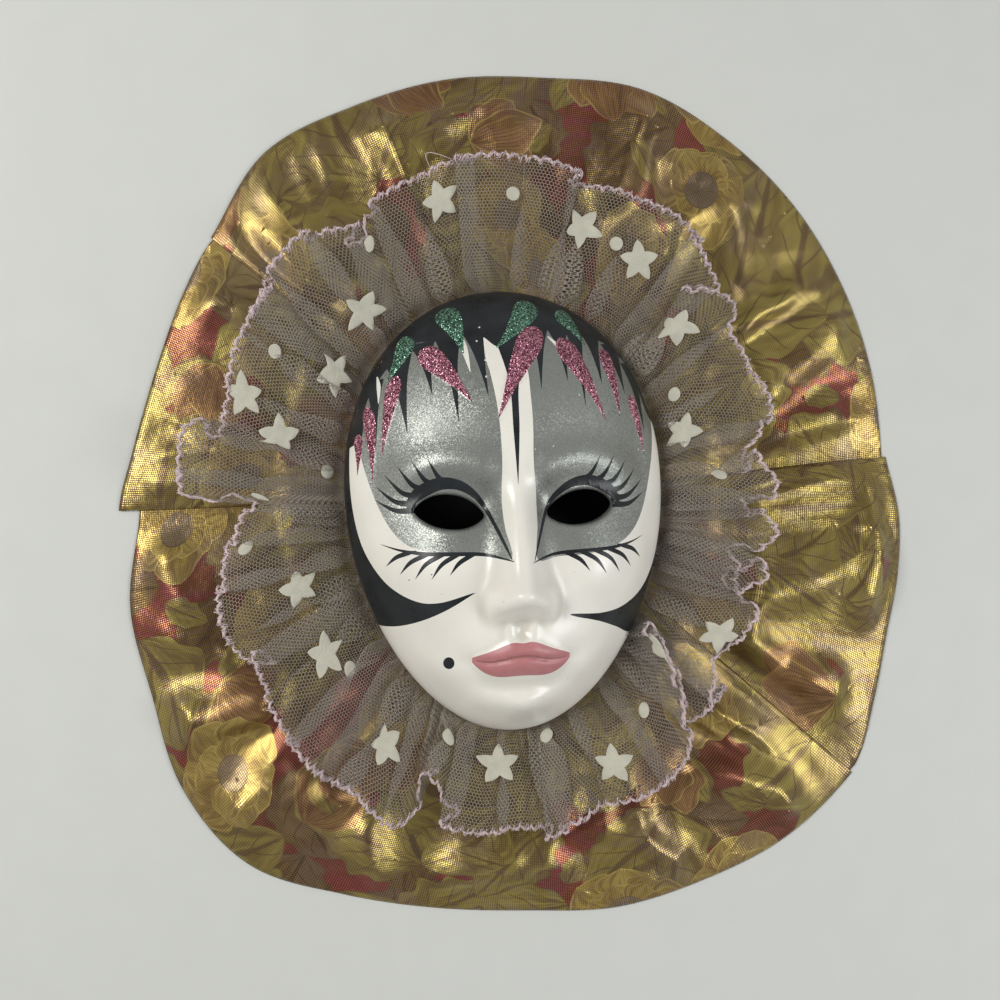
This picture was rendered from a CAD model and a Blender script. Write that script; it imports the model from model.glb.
import math
import random

import bpy
import numpy as np
from bpy.props import FloatProperty, FloatVectorProperty, PointerProperty
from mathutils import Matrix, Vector
from mathutils.geometry import delaunay_2d_cdt
from mathutils.kdtree import KDTree


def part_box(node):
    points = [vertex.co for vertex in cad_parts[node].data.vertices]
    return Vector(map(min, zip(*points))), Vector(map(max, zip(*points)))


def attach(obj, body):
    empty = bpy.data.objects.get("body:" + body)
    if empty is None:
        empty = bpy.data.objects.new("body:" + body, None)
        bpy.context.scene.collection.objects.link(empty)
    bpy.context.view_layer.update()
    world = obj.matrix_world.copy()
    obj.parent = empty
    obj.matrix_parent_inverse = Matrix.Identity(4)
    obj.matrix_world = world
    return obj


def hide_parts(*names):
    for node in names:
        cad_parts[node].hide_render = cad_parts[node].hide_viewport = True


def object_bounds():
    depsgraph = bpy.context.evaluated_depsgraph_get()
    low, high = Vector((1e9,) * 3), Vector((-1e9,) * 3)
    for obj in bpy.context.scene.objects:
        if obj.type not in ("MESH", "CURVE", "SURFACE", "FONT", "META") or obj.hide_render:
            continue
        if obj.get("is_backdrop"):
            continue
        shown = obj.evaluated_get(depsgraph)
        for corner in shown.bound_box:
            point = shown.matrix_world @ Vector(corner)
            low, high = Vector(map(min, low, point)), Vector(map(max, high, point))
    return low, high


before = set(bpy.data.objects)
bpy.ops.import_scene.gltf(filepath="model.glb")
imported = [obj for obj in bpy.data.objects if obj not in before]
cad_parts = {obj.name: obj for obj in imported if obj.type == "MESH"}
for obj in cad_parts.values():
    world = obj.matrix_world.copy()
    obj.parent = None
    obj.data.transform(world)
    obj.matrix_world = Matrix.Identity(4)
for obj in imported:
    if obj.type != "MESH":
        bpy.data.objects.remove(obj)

bl_info = {
    "name": "Ceramic wall mask",
    "version": (1, 0, 0),
    "blender": (4, 5, 0),
    "location": "View3D > Sidebar > Wall Mask",
    "description": "Painted ceramic face on a star tulle ruffle and a pleated gold collar",
    "category": "Add Mesh",
}

CAD_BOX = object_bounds()

# Places are in millimetres in the frame's axes: +Z out of the face, +Y the top of the head
MM = 0.001
MASK_X, MASK_Y = -8.5, -6.0
MASK_ROLL = math.radians(2.3)
RIM_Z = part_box("face_mask")[0][2] / MM
RUFFLE_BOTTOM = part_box("tulle_ruffle")[0][2] / MM
CARD_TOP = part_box("backing_card")[1][2] / MM

# Face, in its own axes: x to the viewer's right, y up, z from the back of the rim
HALF_WIDTH, HALF_HEIGHT, TAPER = 58.5, 81.0, 0.11
DOME_HEIGHT, DOME_POWER, DOME_ROUNDNESS = 33.0, 2.3, 0.62
RIM_LIP, RIM_WIDTH, WALL = 3.0, 5.2, 4.0
EYE = {"x": 23.0, "y": 0.2, "half_width": 12.0, "up": 6.6, "down": 5.4, "slant": 1.2, "taper": 0.3}
NOSE = {"root": 8, "length": 40, "root_height": 2.4, "more_height": 11.6, "root_width": 5.4,
        "more_width": 3.6, "base": (27, 39), "top": (-34, 6), "softness": 0.03, "longest": 1.1,
        "squareness": 2.2}
BROW = {"x": 24, "y": 12, "arch": 6, "spread": 16, "height": 2.6, "width": 6.4,
        "inner_end": (2, 12), "outer_end": (36, 50)}
LIPS = {"y": -50.6, "half_width": 17.8, "upper": 5.4, "lower": 7.0, "bow": 0.9, "dip": 0.18,
        "dip_width": 2.6, "upper_roll": 2.1, "lower_roll": 2.7, "groove": 1.5}
# Each form is (height, x, y, spread across, spread up), the same on both sides
BROAD_FORMS = {
    "forehead": (2.2, 0, 42, 34, 22),
    "eye socket": (-8.0, 22, 1.5, 15.5, 10.5),
    "inner corner": (-3.0, 11, 3, 5, 8),
    "eyelids": (6.2, 23.5, 0, 12.5, 8.6),
    "cheek": (5.0, 31, -20, 17, 16),
    "cheek hollow": (-1.5, 36, -46, 12, 14),
    "mouth": (5.6, 0, -48, 24, 16),
    "chin": (9.0, 0, -71, 15.5, 11),
    "jaw": (2.5, 30, -55, 13, 15),
    "temple": (-2.0, 47, 18, 10, 18),
}
FINE_FORMS = {
    "nose tip": (2.6, 0, -30, 7.4, 6),
    "nostril wing": (4.6, 8.6, -32, 4.4, 4.6),
    "beside wing": (-1.3, 13, -33, 2.6, 4.6),
    "lip groove": (-1.4, 0, -40.5, 2.6, 4.2),
    "groove edge": (0.7, 4.4, -41, 1.8, 4),
    "mouth corner": (-0.9, 19.5, -50.2, 4.5, 4),
    "below lips": (-2.4, 0, -60.5, 14, 4.4),
}
SIDES = (-1, 1)
# The forms fade out near the rim, over this share of the way, and show less on the inside
RIM_FADE, INNER_FADE, INNER_RELIEF = 0.2, 0.3, 0.8
# Rounded lip of the open eyes: width, drop, and the distances of its rings from the opening
EYE_ROLL, EYE_DROP = 1.3, 1.1
EYE_RINGS = (0.35, 0.8, EYE_ROLL, 1.9)
GLITTER_HEIGHT, GLITTER_SLOPE = 0.35, 0.6
# Points of the mesh: rows of a grid are HEX_ROW spacings apart
HEX_ROW = 0.866
RIM_POINTS, RIM_RINGS, RIM_CROWDING = 380, 8, 0.0015
GRID, GRID_REACH, GRID_EYE_GAP, GRID_LINE_GAP = 0.95, 0.897, 2.3, 0.32
INNER_GRID, INNER_REACH, INNER_EYE_GAP = 4.5, 0.93, 2.0
INNER_RINGS = (0.4, 1.2, 2.4)
# Rings round the underside of the rim: how far in, and how high
RIM_UNDERSIDE = ((0, 0.9), (0.25, 0.25), (0.9, 0), (RIM_WIDTH - 0.6, 0))

# Collar lengths, clockwise: start and end directions in degrees, and distances of the outer edge
COLLAR_LENGTHS = (
    (141.0, 6.6, (149.5, 158.8, 158.0, 158.4, 158.0, 161.4, 158.0, 154.0, 149.3, 145.2, 141.8)),
    (6.0, -39.0, (143.4, 148.3, 150.9, 153.2, 159.4, 167.4)),
    (-40.0, -176.6, (168.3, 167.3, 163.4, 161.0, 157.0, 158.2, 163.0, 170.2, 166.0, 155.6, 150.6, 141.9)),
    (-177.7, -218.4, (149.0, 145.1, 143.3, 143.7, 146.0, 148.6)),
)
# Width of the print from the fold to the held edge, and of the whole cut, both layers together
COLLAR_WIDTH, CUT_WIDTH = 90.0, 172.0
# Distance from the origin at which the lengths are measured, and the part tucked under the next
COLLAR_MIDDLE, COLLAR_TUCK = 135.0, 21.0
COLLAR_LOW = 0.35
BAND_UNDER_RIM = 4.0
# Stretch beyond the rim over which the collar comes down from the card
CARD_STEP = (18.5, 27)
# Height left under the net at the rim, its growth outwards, and the same for high folds further out
ROOM, ROOM_SLOPE, HIGH_FROM, HIGH_SLOPE = 4.15, 0.13, 42, 0.7
# Thickness of the doubled cloth in from its fold, and the least that its folds leave of it
PUFF = {"height": 4.2, "reach": 24, "roll": 0.9, "roll_width": 1.2, "least": 0.25}
# Ends of a length: the free one lies on top, the other runs under the next length
FREE_END = {"top": 0.24, "top_reach": 6, "under": 0.36, "under_reach": 26, "round": 1.8}
TUCKED_END = {"from": -17, "press": 0.74, "thin": 0.5, "draw_in": 0.12, "calm": (-14, -2)}
# Layers of the collar's relief, in millimetres
GATHERS = {"height": 2.4, "reach": 22, "pitch": 8.5, "across": 55, "sway": 6, "sway_length": 17}
WANDER = {"height": 2.2, "size": 13}
RIDGES = {"spread": 1.5, "scale": 1.05, "limit": 8.0, "change": 0.3, "size": 12}
FLUTES = {"height": 1.1, "around": 21, "across": 60, "bend": 9, "bend_size": 40}
CRUMPLES = {"height": 0.5, "around": 12, "across": 36}
CRINKLES = {"height": 0.06, "size": 5.5}
# Stretches over which the relief grows: from the outer fold, and from the free end
FROM_FOLD, FROM_END, GATHERS_FROM_END = (0.5, 14), (1, 24), (0.5, 7)
# Its share at the rim, and how far beyond it the relief is full
RELIEF_AT_RIM, RELIEF_FULL = 0.12, 45
# Distance between the motifs of the print, and between the points of their outlines, which are
# further apart on the underside, beyond FINE_FROM
PRINT_REPEAT = 32.0
PRINT_STEP, UNDER_STEP, FINE_FROM = 1.3, 3.5, -25
# Folds that catch the light: their line, height and half width
COLLAR_RIDGES = (
    (((-108, 99), (-98, 92), (-92, 84)), 2.0, 7),
    (((-121, 68), (-104, 66), (-90, 58)), 3.5, 6),
    (((-53, 134), (-46, 118)), 5.0, 6),
    (((-36, 127), (-32, 139), (-20, 145)), 4.0, 4),
    (((12, 149), (9, 125)), 2.5, 7),
    (((45, 154), (39, 130), (34, 113)), 5.5, 5),
    (((60, 123), (74, 123), (84, 116)), 4.0, 5),
    (((55, 102), (72, 110)), 4.0, 5),
    (((74, 109), (81, 93), (82, 80)), 4.0, 5),
    (((79, 63), (97, 73), (119, 85)), 6.0, 4),
    (((82, 41), (105, 55), (129, 70)), 8.0, 7),
    (((62, 38), (88, 39)), 3.0, 5),
    (((96, 24), (118, 30)), 3.0, 5),
    (((89, 1), (117, 5), (142, 6)), 4.0, 6),
    (((79, -40), (105, -34), (129, -25)), 6.0, 9),
    (((134, 2), (138, -19), (133, -44)), 4.0, 4.5),
    (((81, -55), (99, -71), (117, -72)), 5.0, 5),
    (((62, -80), (84, -84), (104, -92), (119, -97)), 6.0, 3.5),
    (((63, -104), (80, -108), (96, -113), (110, -121)), 7.0, 5),
    (((19, -124), (32, -127), (46, -130), (56, -137), (57, -145), (48, -149)), 5.0, 4),
    (((26, -116), (43, -119)), 4.0, 4),
    (((-22, -136), (-9, -135), (6, -134)), 5.0, 8),
    (((-142, -17), (-133, -25)), 3.0, 6),
    (((-136, -82), (-97, -73)), 6.0, 5),
    (((-133, -91), (-99, -80)), 3.5, 4),
    (((-103, -114), (-83, -92)), 5.5, 6),
    (((-90, -117), (-73, -110)), 4.0, 4),
    (((-61, -122), (-56, -146)), 4.0, 5),
    (((-28, -142), (-10, -139)), 3.5, 5),
    (((-126, -38), (-105, -34)), 3.5, 6),
    (((-137, -52), (-110, -58)), 3.5, 6),
)

# Outer edge of the net, clockwise from the loose thread: direction, distance from the mask's
# middle and height. Where the direction turns back, the net folds under itself.
RUFFLE_EDGE = (
    (101.9, 125.6, 15), (96.2, 127.4, 18), (87.9, 127.3, 19), (82, 126, 17), (77.5, 124, 17.5),
    (79.6, 121, 12.5), (76.3, 122, 12.5), (73.7, 122.4, 15), (66.4, 123.1, 18), (60.9, 123.5, 18),
    (55.8, 121.7, 17), (52.1, 117.4, 15), (47, 113.5, 12), (50.8, 106, 12.5), (51.5, 104, 19),
    (46.8, 109.5, 21), (43.9, 111.9, 19), (41.8, 112.4, 17), (38.3, 105.8, 14), (34, 105, 16),
    (30.5, 103.8, 17), (25.5, 104.5, 18), (21.2, 104.3, 17), (17.6, 100, 14.5), (13.5, 90, 12),
    (9, 96, 18), (5.9, 98.1, 20), (2.6, 95, 17), (3.2, 87, 12), (0.2, 90.7, 13),
    (-2.5, 97.3, 18), (-5.5, 98, 20), (-8.5, 92, 16), (-8.8, 83.5, 12), (-11.5, 84, 12.5),
    (-12.5, 93, 17), (-14, 97, 20), (-16, 95.5, 18), (-16.6, 86, 13), (-18.5, 84.5, 12.5),
    (-20, 93, 15), (-22.5, 99.5, 18), (-24.5, 98.4, 19), (-29, 97, 17), (-32.5, 95, 13),
    (-36, 93, 14), (-38.5, 98, 15), (-40.6, 102.7, 15), (-45, 104, 13), (-49, 101.7, 11.5),
    (-46.5, 94, 13), (-43.5, 84, 15), (-40.5, 73, 16.5), (-38, 65, 17), (-40.5, 71, 20),
    (-45, 85, 21), (-49.5, 98.5, 20.5), (-52.3, 107.6, 19), (-57.7, 113.8, 16), (-64.4, 114.5, 17),
    (-72.1, 111.9, 16), (-76.5, 114.5, 14), (-83.5, 118.5, 15), (-80.8, 116, 11.5), (-85, 115, 12),
    (-87.7, 113.8, 15), (-95, 115.8, 17), (-99.7, 113.8, 16), (-102.7, 107.4, 15), (-104.2, 100, 17),
    (-106, 96.5, 18.5), (-108.5, 97.5, 16.5), (-108, 103, 12.5), (-107, 108, 12), (-107.8, 114, 13),
    (-109.5, 118.5, 15), (-112.2, 119, 17), (-116, 116, 17), (-119.3, 113, 15.5), (-122.5, 114.5, 16.5),
    (-120.8, 113, 12.5), (-124.5, 115, 13), (-130, 113, 17.5), (-133.5, 111, 17), (-136.8, 110, 15),
    (-140.5, 108.5, 13), (-144, 106.6, 13), (-147.5, 105, 16), (-150.8, 102.5, 18.5), (-147.8, 98.5, 13),
    (-149, 103, 12), (-152, 107.5, 12.5), (-155.2, 108.8, 14), (-160, 108, 17), (-164.6, 105, 18),
    (-170, 101.5, 17.5), (-176, 96.2, 16), (-180, 92, 13.5), (-182.2, 89.8, 12), (-182.7, 100, 13),
    (-182.9, 113.5, 15.5), (-186, 116, 18), (-190, 117, 18.5), (-194.4, 117.3, 17), (-195.2, 111, 14),
    (-195.9, 105.2, 12.5), (-198.5, 106, 13), (-201.7, 107, 15), (-207, 110, 17), (-211.7, 112.7, 18),
    (-216, 113.5, 17.5), (-221.5, 116, 17), (-218.8, 114, 12.5), (-222.6, 117.5, 13), (-224.8, 119.5, 15),
    (-228.5, 120.5, 17), (-231.8, 121.2, 17.5), (-235.5, 119, 16), (-238.9, 116.3, 15), (-241.5, 115, 16),
    (-239.6, 111, 12), (-242.4, 110, 12.5), (-243.3, 115.3, 15), (-246, 118.5, 17), (-248.3, 120.8, 18),
    (-251.5, 122, 17.5), (-254, 122.7, 16), (-256.5, 124, 14),
)
# Grid of the net, and how far along the strip its folds at the edge even out at the rim
RUFFLE_STEP, RUFFLE_ROWS = 0.72, 30
RUFFLE_SLACK = 17.0
# Pleats of the net: cloth from one to the next, half length, depth and reach as shares
PLEAT = {"gap": (12, 27), "half": (6.4, 10.0), "depth": (0.62, 0.85), "reach": (0.4, 1.3),
         "height": 3.8, "lift": 0.88, "outer_loss": 0.42}
# Rise between the pleats, slow change along the edge, the shares of the net's width over which
# they and the pleats grow, and the small gathers at the rim
BULGE, DRIFT, DRIFT_LENGTH = 2.6, 1.8, 15
BULGE_FROM, DRIFT_FROM, OPENS_FROM = (0.1, 0.8), (0.2, 0.85), (0.02, 0.2)
WRINKLE = {"height": 0.32, "pitch": 4.6, "fade": 1.3}
NET_GAP, NET_RISE, NET_CLIMB = 0.15, 0.86, 1.55
SCALLOP, SCALLOP_DEPTH = 4.3, 1.6
HEM_RADIUS, HEM_LUMP = 0.48, 1.05
# Threads that whip round the hem: pitch, start of the turn, and reach
WHIPPING = ((1.7, 0.0, 1.0), (2.3, 1.9, 1.3))
WHIP_RADIUS, WHIP_HEIGHT, WHIP_INSET = 0.21, 0.9, 0.25
LOOP_PLACE, LOOP_RADIUS = (-33.5, 119.5, 17.0), 0.14
STAR_RADIUS, DOT_RADIUS = 7.6, 2.5
# Square of the distance over which the pleats are calmer round a star and a dot
STAR_CALM, DOT_CALM = 75, 22
# Rings of a flocked mark: share of its outline, and height over the net
MARK_RINGS = ((0.0, 0.4), (0.35, 0.4), (0.7, 0.38), (0.92, 0.34), (1.0, 0.15))
# Most that a mark is lifted to bridge the gathers, and how far it gives way sideways to lie higher
MARK_LIFT, MARK_UPWARD = 3.0, 0.45
# Flocked marks on the net: direction and distance from the mask's middle
STARS = ((102.8, 114.8), (75.5, 107.7), (62.3, 104.2), (47.7, 91.9), (23.8, 73), (329.7, 91.1),
         (292.6, 99.7), (241.9, 94.6), (217.8, 82.6), (200.2, 79.8), (162, 86.2), (141, 80),
         (319.1, 76), (156.3, 104), (126, 88), (268, 92))
DOTS = ((89.3, 114.6), (68, 106.4), (34.7, 75.6), (176.7, 88.8), (304.6, 89.3), (224.7, 80.3),
        (167.6, 67), (117.8, 108), (10, 80), (255, 84), (188, 96), (146, 101), (280, 84))


def smooth(low, high, value):
    t = np.clip((value - low) / (high - low), 0, 1)
    return t * t * (3 - 2 * t)


def through(values, t):
    """Smooth curve through evenly spaced values, with t from 0 to 1."""
    values = np.asarray(values, dtype=float)
    last = len(values) - 1
    place = np.clip(t, 0, 1) * last
    i = np.minimum(np.floor(place).astype(int), last - 1)
    f = place - i
    a, b = values[np.maximum(i - 1, 0)], values[i]
    c, d = values[i + 1], values[np.minimum(i + 2, last)]
    if values.ndim > 1:
        f = f[..., None]
    return b + 0.5 * f * (c - a + f * (2 * a - 5 * b + 4 * c - d + f * (3 * (b - c) + d - a)))


def unit(vectors):
    """The rows of vectors at a length of one."""
    return vectors / np.maximum(np.linalg.norm(vectors, axis=1), 1e-9)[:, None]


def turned(points, angle):
    """Flat points, turned about the origin."""
    c, s = math.cos(angle), math.sin(angle)
    x, y = points[:, 0], points[:, 1]
    return np.column_stack([x * c - y * s, x * s + y * c])


def rim_radius(angle):
    """Distance of the mask's edge from its middle in a direction of its own axes, found in a few rounds."""
    radius = np.full_like(np.asarray(angle, dtype=float), HALF_HEIGHT)
    for _ in range(12):
        width = HALF_WIDTH * (1 + TAPER * radius * np.sin(angle) / HALF_HEIGHT)
        radius = 1 / np.hypot(np.cos(angle) / width, np.sin(angle) / HALF_HEIGHT)
    return radius


def from_mask(angle, distance):
    """Place at a direction and a distance from the middle of the mask."""
    return MASK_X + distance * np.cos(angle), MASK_Y + distance * np.sin(angle)


def beside_rim(angle, grow):
    """Points in direction angle from the middle of the mask, grow outside its edge."""
    return from_mask(angle, rim_radius(angle - MASK_ROLL) + grow)


# Height of the face


def mound(form, x, y):
    height, centre_x, centre_y, spread_x, spread_y = form
    across = (np.abs(x) - centre_x) / spread_x
    return height * np.exp(-across**2 - ((y - centre_y) / spread_y) ** 2)


def nose_ridge(x, y):
    slope = (NOSE["root"] - y) / NOSE["length"]
    along = np.minimum(0.5 * (slope + np.sqrt(slope**2 + NOSE["softness"])), NOSE["longest"])
    width = NOSE["root_width"] + NOSE["more_width"] * along
    height = NOSE["root_height"] + NOSE["more_height"] * along
    ends = (1 - smooth(*NOSE["base"], -y)) * smooth(*NOSE["top"], -y)
    return height * ends * np.exp(-((np.abs(x) / width) ** NOSE["squareness"]))


def broad_forms(x, y):
    return nose_ridge(x, y) + sum(mound(form, x, y) for form in BROAD_FORMS.values())


def lip_lines(x):
    """Line between the lips, the heights of the upper and the lower lip, and the fullness of both."""
    side = np.abs(x) / LIPS["half_width"]
    fullness = np.maximum(1 - side**2, 0)
    line = LIPS["y"] + LIPS["bow"] * np.cos(side * math.pi * 1.5)
    dip = 1 - LIPS["dip"] * np.exp(-((x / LIPS["dip_width"]) ** 2))
    return line, LIPS["upper"] * fullness**0.8 * dip, LIPS["lower"] * fullness**0.75, fullness


def lips(x, y):
    line, upper, lower, fullness = lip_lines(x)
    above = y - line

    def roll(height, middle, size):
        bulge = np.exp(-(((above - middle) / (0.55 * size + 0.7)) ** 2))
        return height * bulge * fullness**0.9

    both = roll(LIPS["upper_roll"], 0.5 * upper, upper) + roll(LIPS["lower_roll"], -0.5 * lower, lower)
    return both - LIPS["groove"] * np.exp(-(above**2)) * np.sqrt(fullness)


def brow(x, y):
    side = np.abs(x)
    line = BROW["y"] + BROW["arch"] * np.exp(-(((side - BROW["x"]) / BROW["spread"]) ** 2))
    ends = smooth(*BROW["inner_end"], side) * (1 - smooth(*BROW["outer_end"], side))
    return BROW["height"] * np.exp(-(((y - line) / BROW["width"]) ** 2)) * ends


def fine_forms(x, y):
    return brow(x, y) + lips(x, y) + sum(mound(form, x, y) for form in FINE_FORMS.values())


def share_to_rim(x, y):
    """0 in the middle of the face, 1 on its edge."""
    up = y / HALF_HEIGHT
    return np.hypot(x / (HALF_WIDTH * (1 + TAPER * up)), up)


def dome(rho, height):
    return height * np.maximum(1 - rho**DOME_POWER, 0) ** DOME_ROUNDNESS


def outer_height(x, y):
    rho = np.minimum(share_to_rim(x, y), 1)
    forms = broad_forms(x, y) + fine_forms(x, y)
    return RIM_LIP + dome(rho, DOME_HEIGHT) + forms * smooth(0, RIM_FADE, 1 - rho)


def inner_height(x, y, rho):
    forms = INNER_RELIEF * broad_forms(x, y) * smooth(0, INNER_FADE, 1 - rho)
    return dome(rho, DOME_HEIGHT + RIM_LIP - WALL) + forms


def eye_outline(side, grow=0.0, count=96):
    """Edge of an open eye, grown by a few tenths for the rounded lip round it."""
    angle = np.linspace(0, 2 * math.pi, count, endpoint=False)
    across = np.cos(angle)
    reach = np.where(np.sin(angle) > 0, EYE["up"], EYE["down"])
    x = side * EYE["x"] + EYE["half_width"] * across
    lift = reach * np.sin(angle) * (1 - EYE["taper"] * np.abs(across) ** 3)
    y = EYE["y"] + lift + EYE["slant"] * across * side
    points = np.stack([x, y], axis=1)
    if grow:
        along = np.roll(points, -1, axis=0) - np.roll(points, 1, axis=0)
        points = points + grow * unit(np.stack([along[:, 1], -along[:, 0]], axis=1))
    return points


# Outlines of the paint, in the face's axes


def curve(points, closed=False, step=0.7):
    """Points along a smooth curve through the given ones, about step apart."""
    points = np.asarray(points, dtype=float)
    if closed:
        points = np.vstack([points[-1], points, points[:2]])
    spans = np.linalg.norm(np.diff(points[:, :2], axis=0), axis=1)
    last = len(points) - 1
    first_span, last_span = (1, last - 1) if closed else (0, last)
    places = []
    for i in range(first_span, last_span):
        count = max(2, int(math.ceil(spans[i] / step)))
        places.extend((i + np.arange(count) / count) / last)
    if not closed:
        places.append(1.0)
    return through(points, np.array(places))


def stroke(points, widths, step=0.6):
    """Brush stroke along a curve, as wide at each of its points as widths says."""
    line = curve(np.column_stack([np.asarray(points, dtype=float), widths]), step=step)
    along = np.gradient(line[:, :2], axis=0)
    normal = unit(np.stack([-along[:, 1], along[:, 0]], axis=1))
    half = 0.5 * np.maximum(line[:, 2], 0.04)[:, None]
    left, right = line[:, :2] + normal * half, line[:, :2] - normal * half
    return np.vstack([left, right[::-1]])


def teardrop(head, tip, radius, bend=0.0):
    """Drop of glitter with a round head and a tail that runs out to a point."""
    head, tip = np.array(head, dtype=float), np.array(tip, dtype=float)
    along = (tip - head) / np.linalg.norm(tip - head)
    side = np.array([-along[1], along[0]])
    start = head - along * radius
    shares = np.array([0, 0.03, 0.1, 0.22, 0.4, 0.6, 0.8, 1.0])
    widths = radius * np.array([0.3, 1.1, 1.8, 2.0, 1.6, 1.05, 0.5, 0.08])
    points = [start + (tip - start) * t + side * bend * math.sin(math.pi * t) for t in shares]
    return stroke(points, widths)


def mirrored(points, squeeze, shift):
    """Points on the other side of the face, a little squeezed and shifted as by hand."""
    points = np.asarray(points, dtype=float) * np.array([-squeeze, 1.0])
    return points + np.array(shift)


# Spikes of the fringe: middle of the base, tip, and width of the base
SPIKES = (
    ((-46.8, 49), (-47.2, 23), 7), ((-38.4, 57), (-36.3, 28.5), 10.5), ((-29.4, 61), (-27.2, 41.5), 9),
    ((-20.6, 64), (-18.8, 31.5), 10), ((-11.6, 66), (-8.2, 40), 9.5), ((11.6, 64), (10.4, 42), 7),
    ((19, 66), (20.4, 45), 9), ((25.4, 65), (26.3, 36), 7.5), ((32, 64), (33.6, 44), 8.5),
    ((40.2, 60), (43, 41), 9), ((47.4, 53), (50.4, 27), 8.5),
)


def spike(base, tip, width):
    """Flame-shaped spike that hangs from a wide base and runs out to a fine point."""
    base, tip = np.array(base, dtype=float), np.array(tip, dtype=float)
    points = [base + (tip - base) * share for share in (0, 0.3, 0.62, 1)]
    return stroke(points, (width, 0.5 * width, 0.22 * width, 0.08))


def fringe():
    """Black fringe: a cap over the top of the head and the spikes that hang from it."""
    cap = [(-53, 27), (-50, 40), (-44, 50), (-38, 55.5), (-29, 59.5), (-20.5, 62.5), (-14, 65),
           (-8.5, 62), (-4, 58), (2, 56), (7, 60), (11, 63), (19, 64), (27, 63.5), (35, 61),
           (42, 56.5), (48, 49), (54, 32), (66, 30), (66, 66), (34, 98), (-34, 98), (-66, 66), (-66, 27)]
    middle = stroke([(2, 64), (1.4, 54), (0.9, 43), (0.7, 28), (0.3, 9.5)], (15, 8, 3, 2.1, 0.1))
    return [curve(cap, closed=True), middle] + [spike(*shape) for shape in SPIKES]


def white_slivers():
    """Thin bare strips that show between the spikes of the fringe."""
    return [
        stroke([(-16.4, 64), (-15.2, 58), (-13.8, 49)], (0.5, 2.2, 0.2)),
        stroke([(-8, 61.5), (-6.6, 53), (-3.4, 43), (-1.8, 35)], (0.4, 2.8, 3.4, 0.4)),
        stroke([(-28, 58), (-24, 53), (-21.8, 46)], (0.4, 1.8, 0.2)),
        stroke([(15, 61.5), (17.8, 58.5), (20, 55.8)], (0.4, 1.3, 0.2)),
        stroke([(-45.5, 50), (-45.2, 46), (-45.6, 40)], (0.4, 1.4, 0.2)),
    ]


def silver_panels():
    left = [(-10, 64), (-7, 48), (-5.2, 34), (-4.7, 20), (-5.3, 6), (-5, -5), (-3.8, -15.6),
            (-13, -13.6), (-24, -13), (-34, -11.8), (-40.5, -8), (-45.5, -0.5), (-49.5, 10),
            (-52.6, 22), (-54, 36), (-50, 52), (-36, 64), (-20, 69)]
    right = [(6.2, 64), (6.3, 46), (6.6, 30), (6.1, 16), (6.9, 6), (6.6, -4), (5.4, -16.2), (14, -15.8),
             (24, -15.4), (33.5, -13.4), (41.5, -9), (47, -1.5), (51, 10), (54, 24), (54.5, 38),
             (50, 52), (36, 64), (20, 69)]
    return [curve(left, closed=True), curve(right, closed=True)]


def side_bands():
    """Black bands down both sides, which sweep into a point on each cheek."""
    left = [(-54.4, 40), (-56.4, 24), (-56.6, 8), (-54.6, -6), (-50.8, -16), (-44.5, -24.5),
            (-36, -29.6), (-28, -30.3), (-16.5, -27.2), (-17.5, -28.2), (-26, -33.2), (-35, -37.2),
            (-44, -39.4), (-54, -39), (-68, -36), (-74, 0), (-68, 38)]
    right = [(54.8, 40), (57, 24), (57.6, 8), (56.6, -8), (53.6, -20), (47.5, -29.5), (39, -35),
             (30, -36.8), (18, -36.2), (19, -37.2), (28, -39.6), (36, -42.8), (44, -46.5), (58, -47),
             (74, 0), (68, 38)]
    return [curve(left, closed=True), curve(right, closed=True)]


# Eye paint for the viewer's left eye: strokes as points and widths
LINER = ([(-37, 2.4), (-36.2, 4.6), (-32.8, 7.9), (-26.2, 10.6), (-19.6, 9.9), (-14, 6.2),
          (-10.6, 1.6), (-8.2, -3.8), (-5.8, -10), (-3.6, -16)],
         (1.2, 2.9, 4.6, 4.4, 3.4, 2.3, 1.5, 1.2, 1, 0.3))
UPPER_LASHES = [
    [(-34.6, 2), (-41.4, 2), (-48.4, 6)],
    [(-34.4, 4.2), (-41.2, 5), (-47.8, 10.6)],
    [(-32.4, 6.6), (-38.8, 8), (-44.6, 14.4)],
    [(-29.6, 8.6), (-35.4, 10.6), (-40.4, 17.4)],
    [(-26, 9.8), (-31.2, 12.2), (-35.6, 19.2)],
    [(-21.8, 10.2), (-26.4, 12.8), (-30.2, 19.6)],
]
LOWER_LINE = ([(-47, -9.6), (-40.5, -11.8), (-32, -13.2), (-22, -13.6), (-12, -14.2),
               (-3, -16.6)],
              (0.1, 0.8, 1.4, 1.4, 1.2, 0.3))
LOWER_LASHES = [
    [(-35, -12.2), (-38.2, -12.9), (-42, -14.3), (-45.4, -17.4)],
    [(-29.6, -13.1), (-33, -14), (-37.4, -16.2), (-40.8, -20.2)],
    [(-24.6, -13.4), (-28, -14.4), (-32.4, -17), (-35.8, -21.8)],
    [(-19.6, -13.6), (-22.8, -14.6), (-27, -17.2), (-30.4, -22)],
    [(-14.6, -13.9), (-17.6, -14.8), (-21.2, -17), (-24.2, -20.8)],
]


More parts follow.
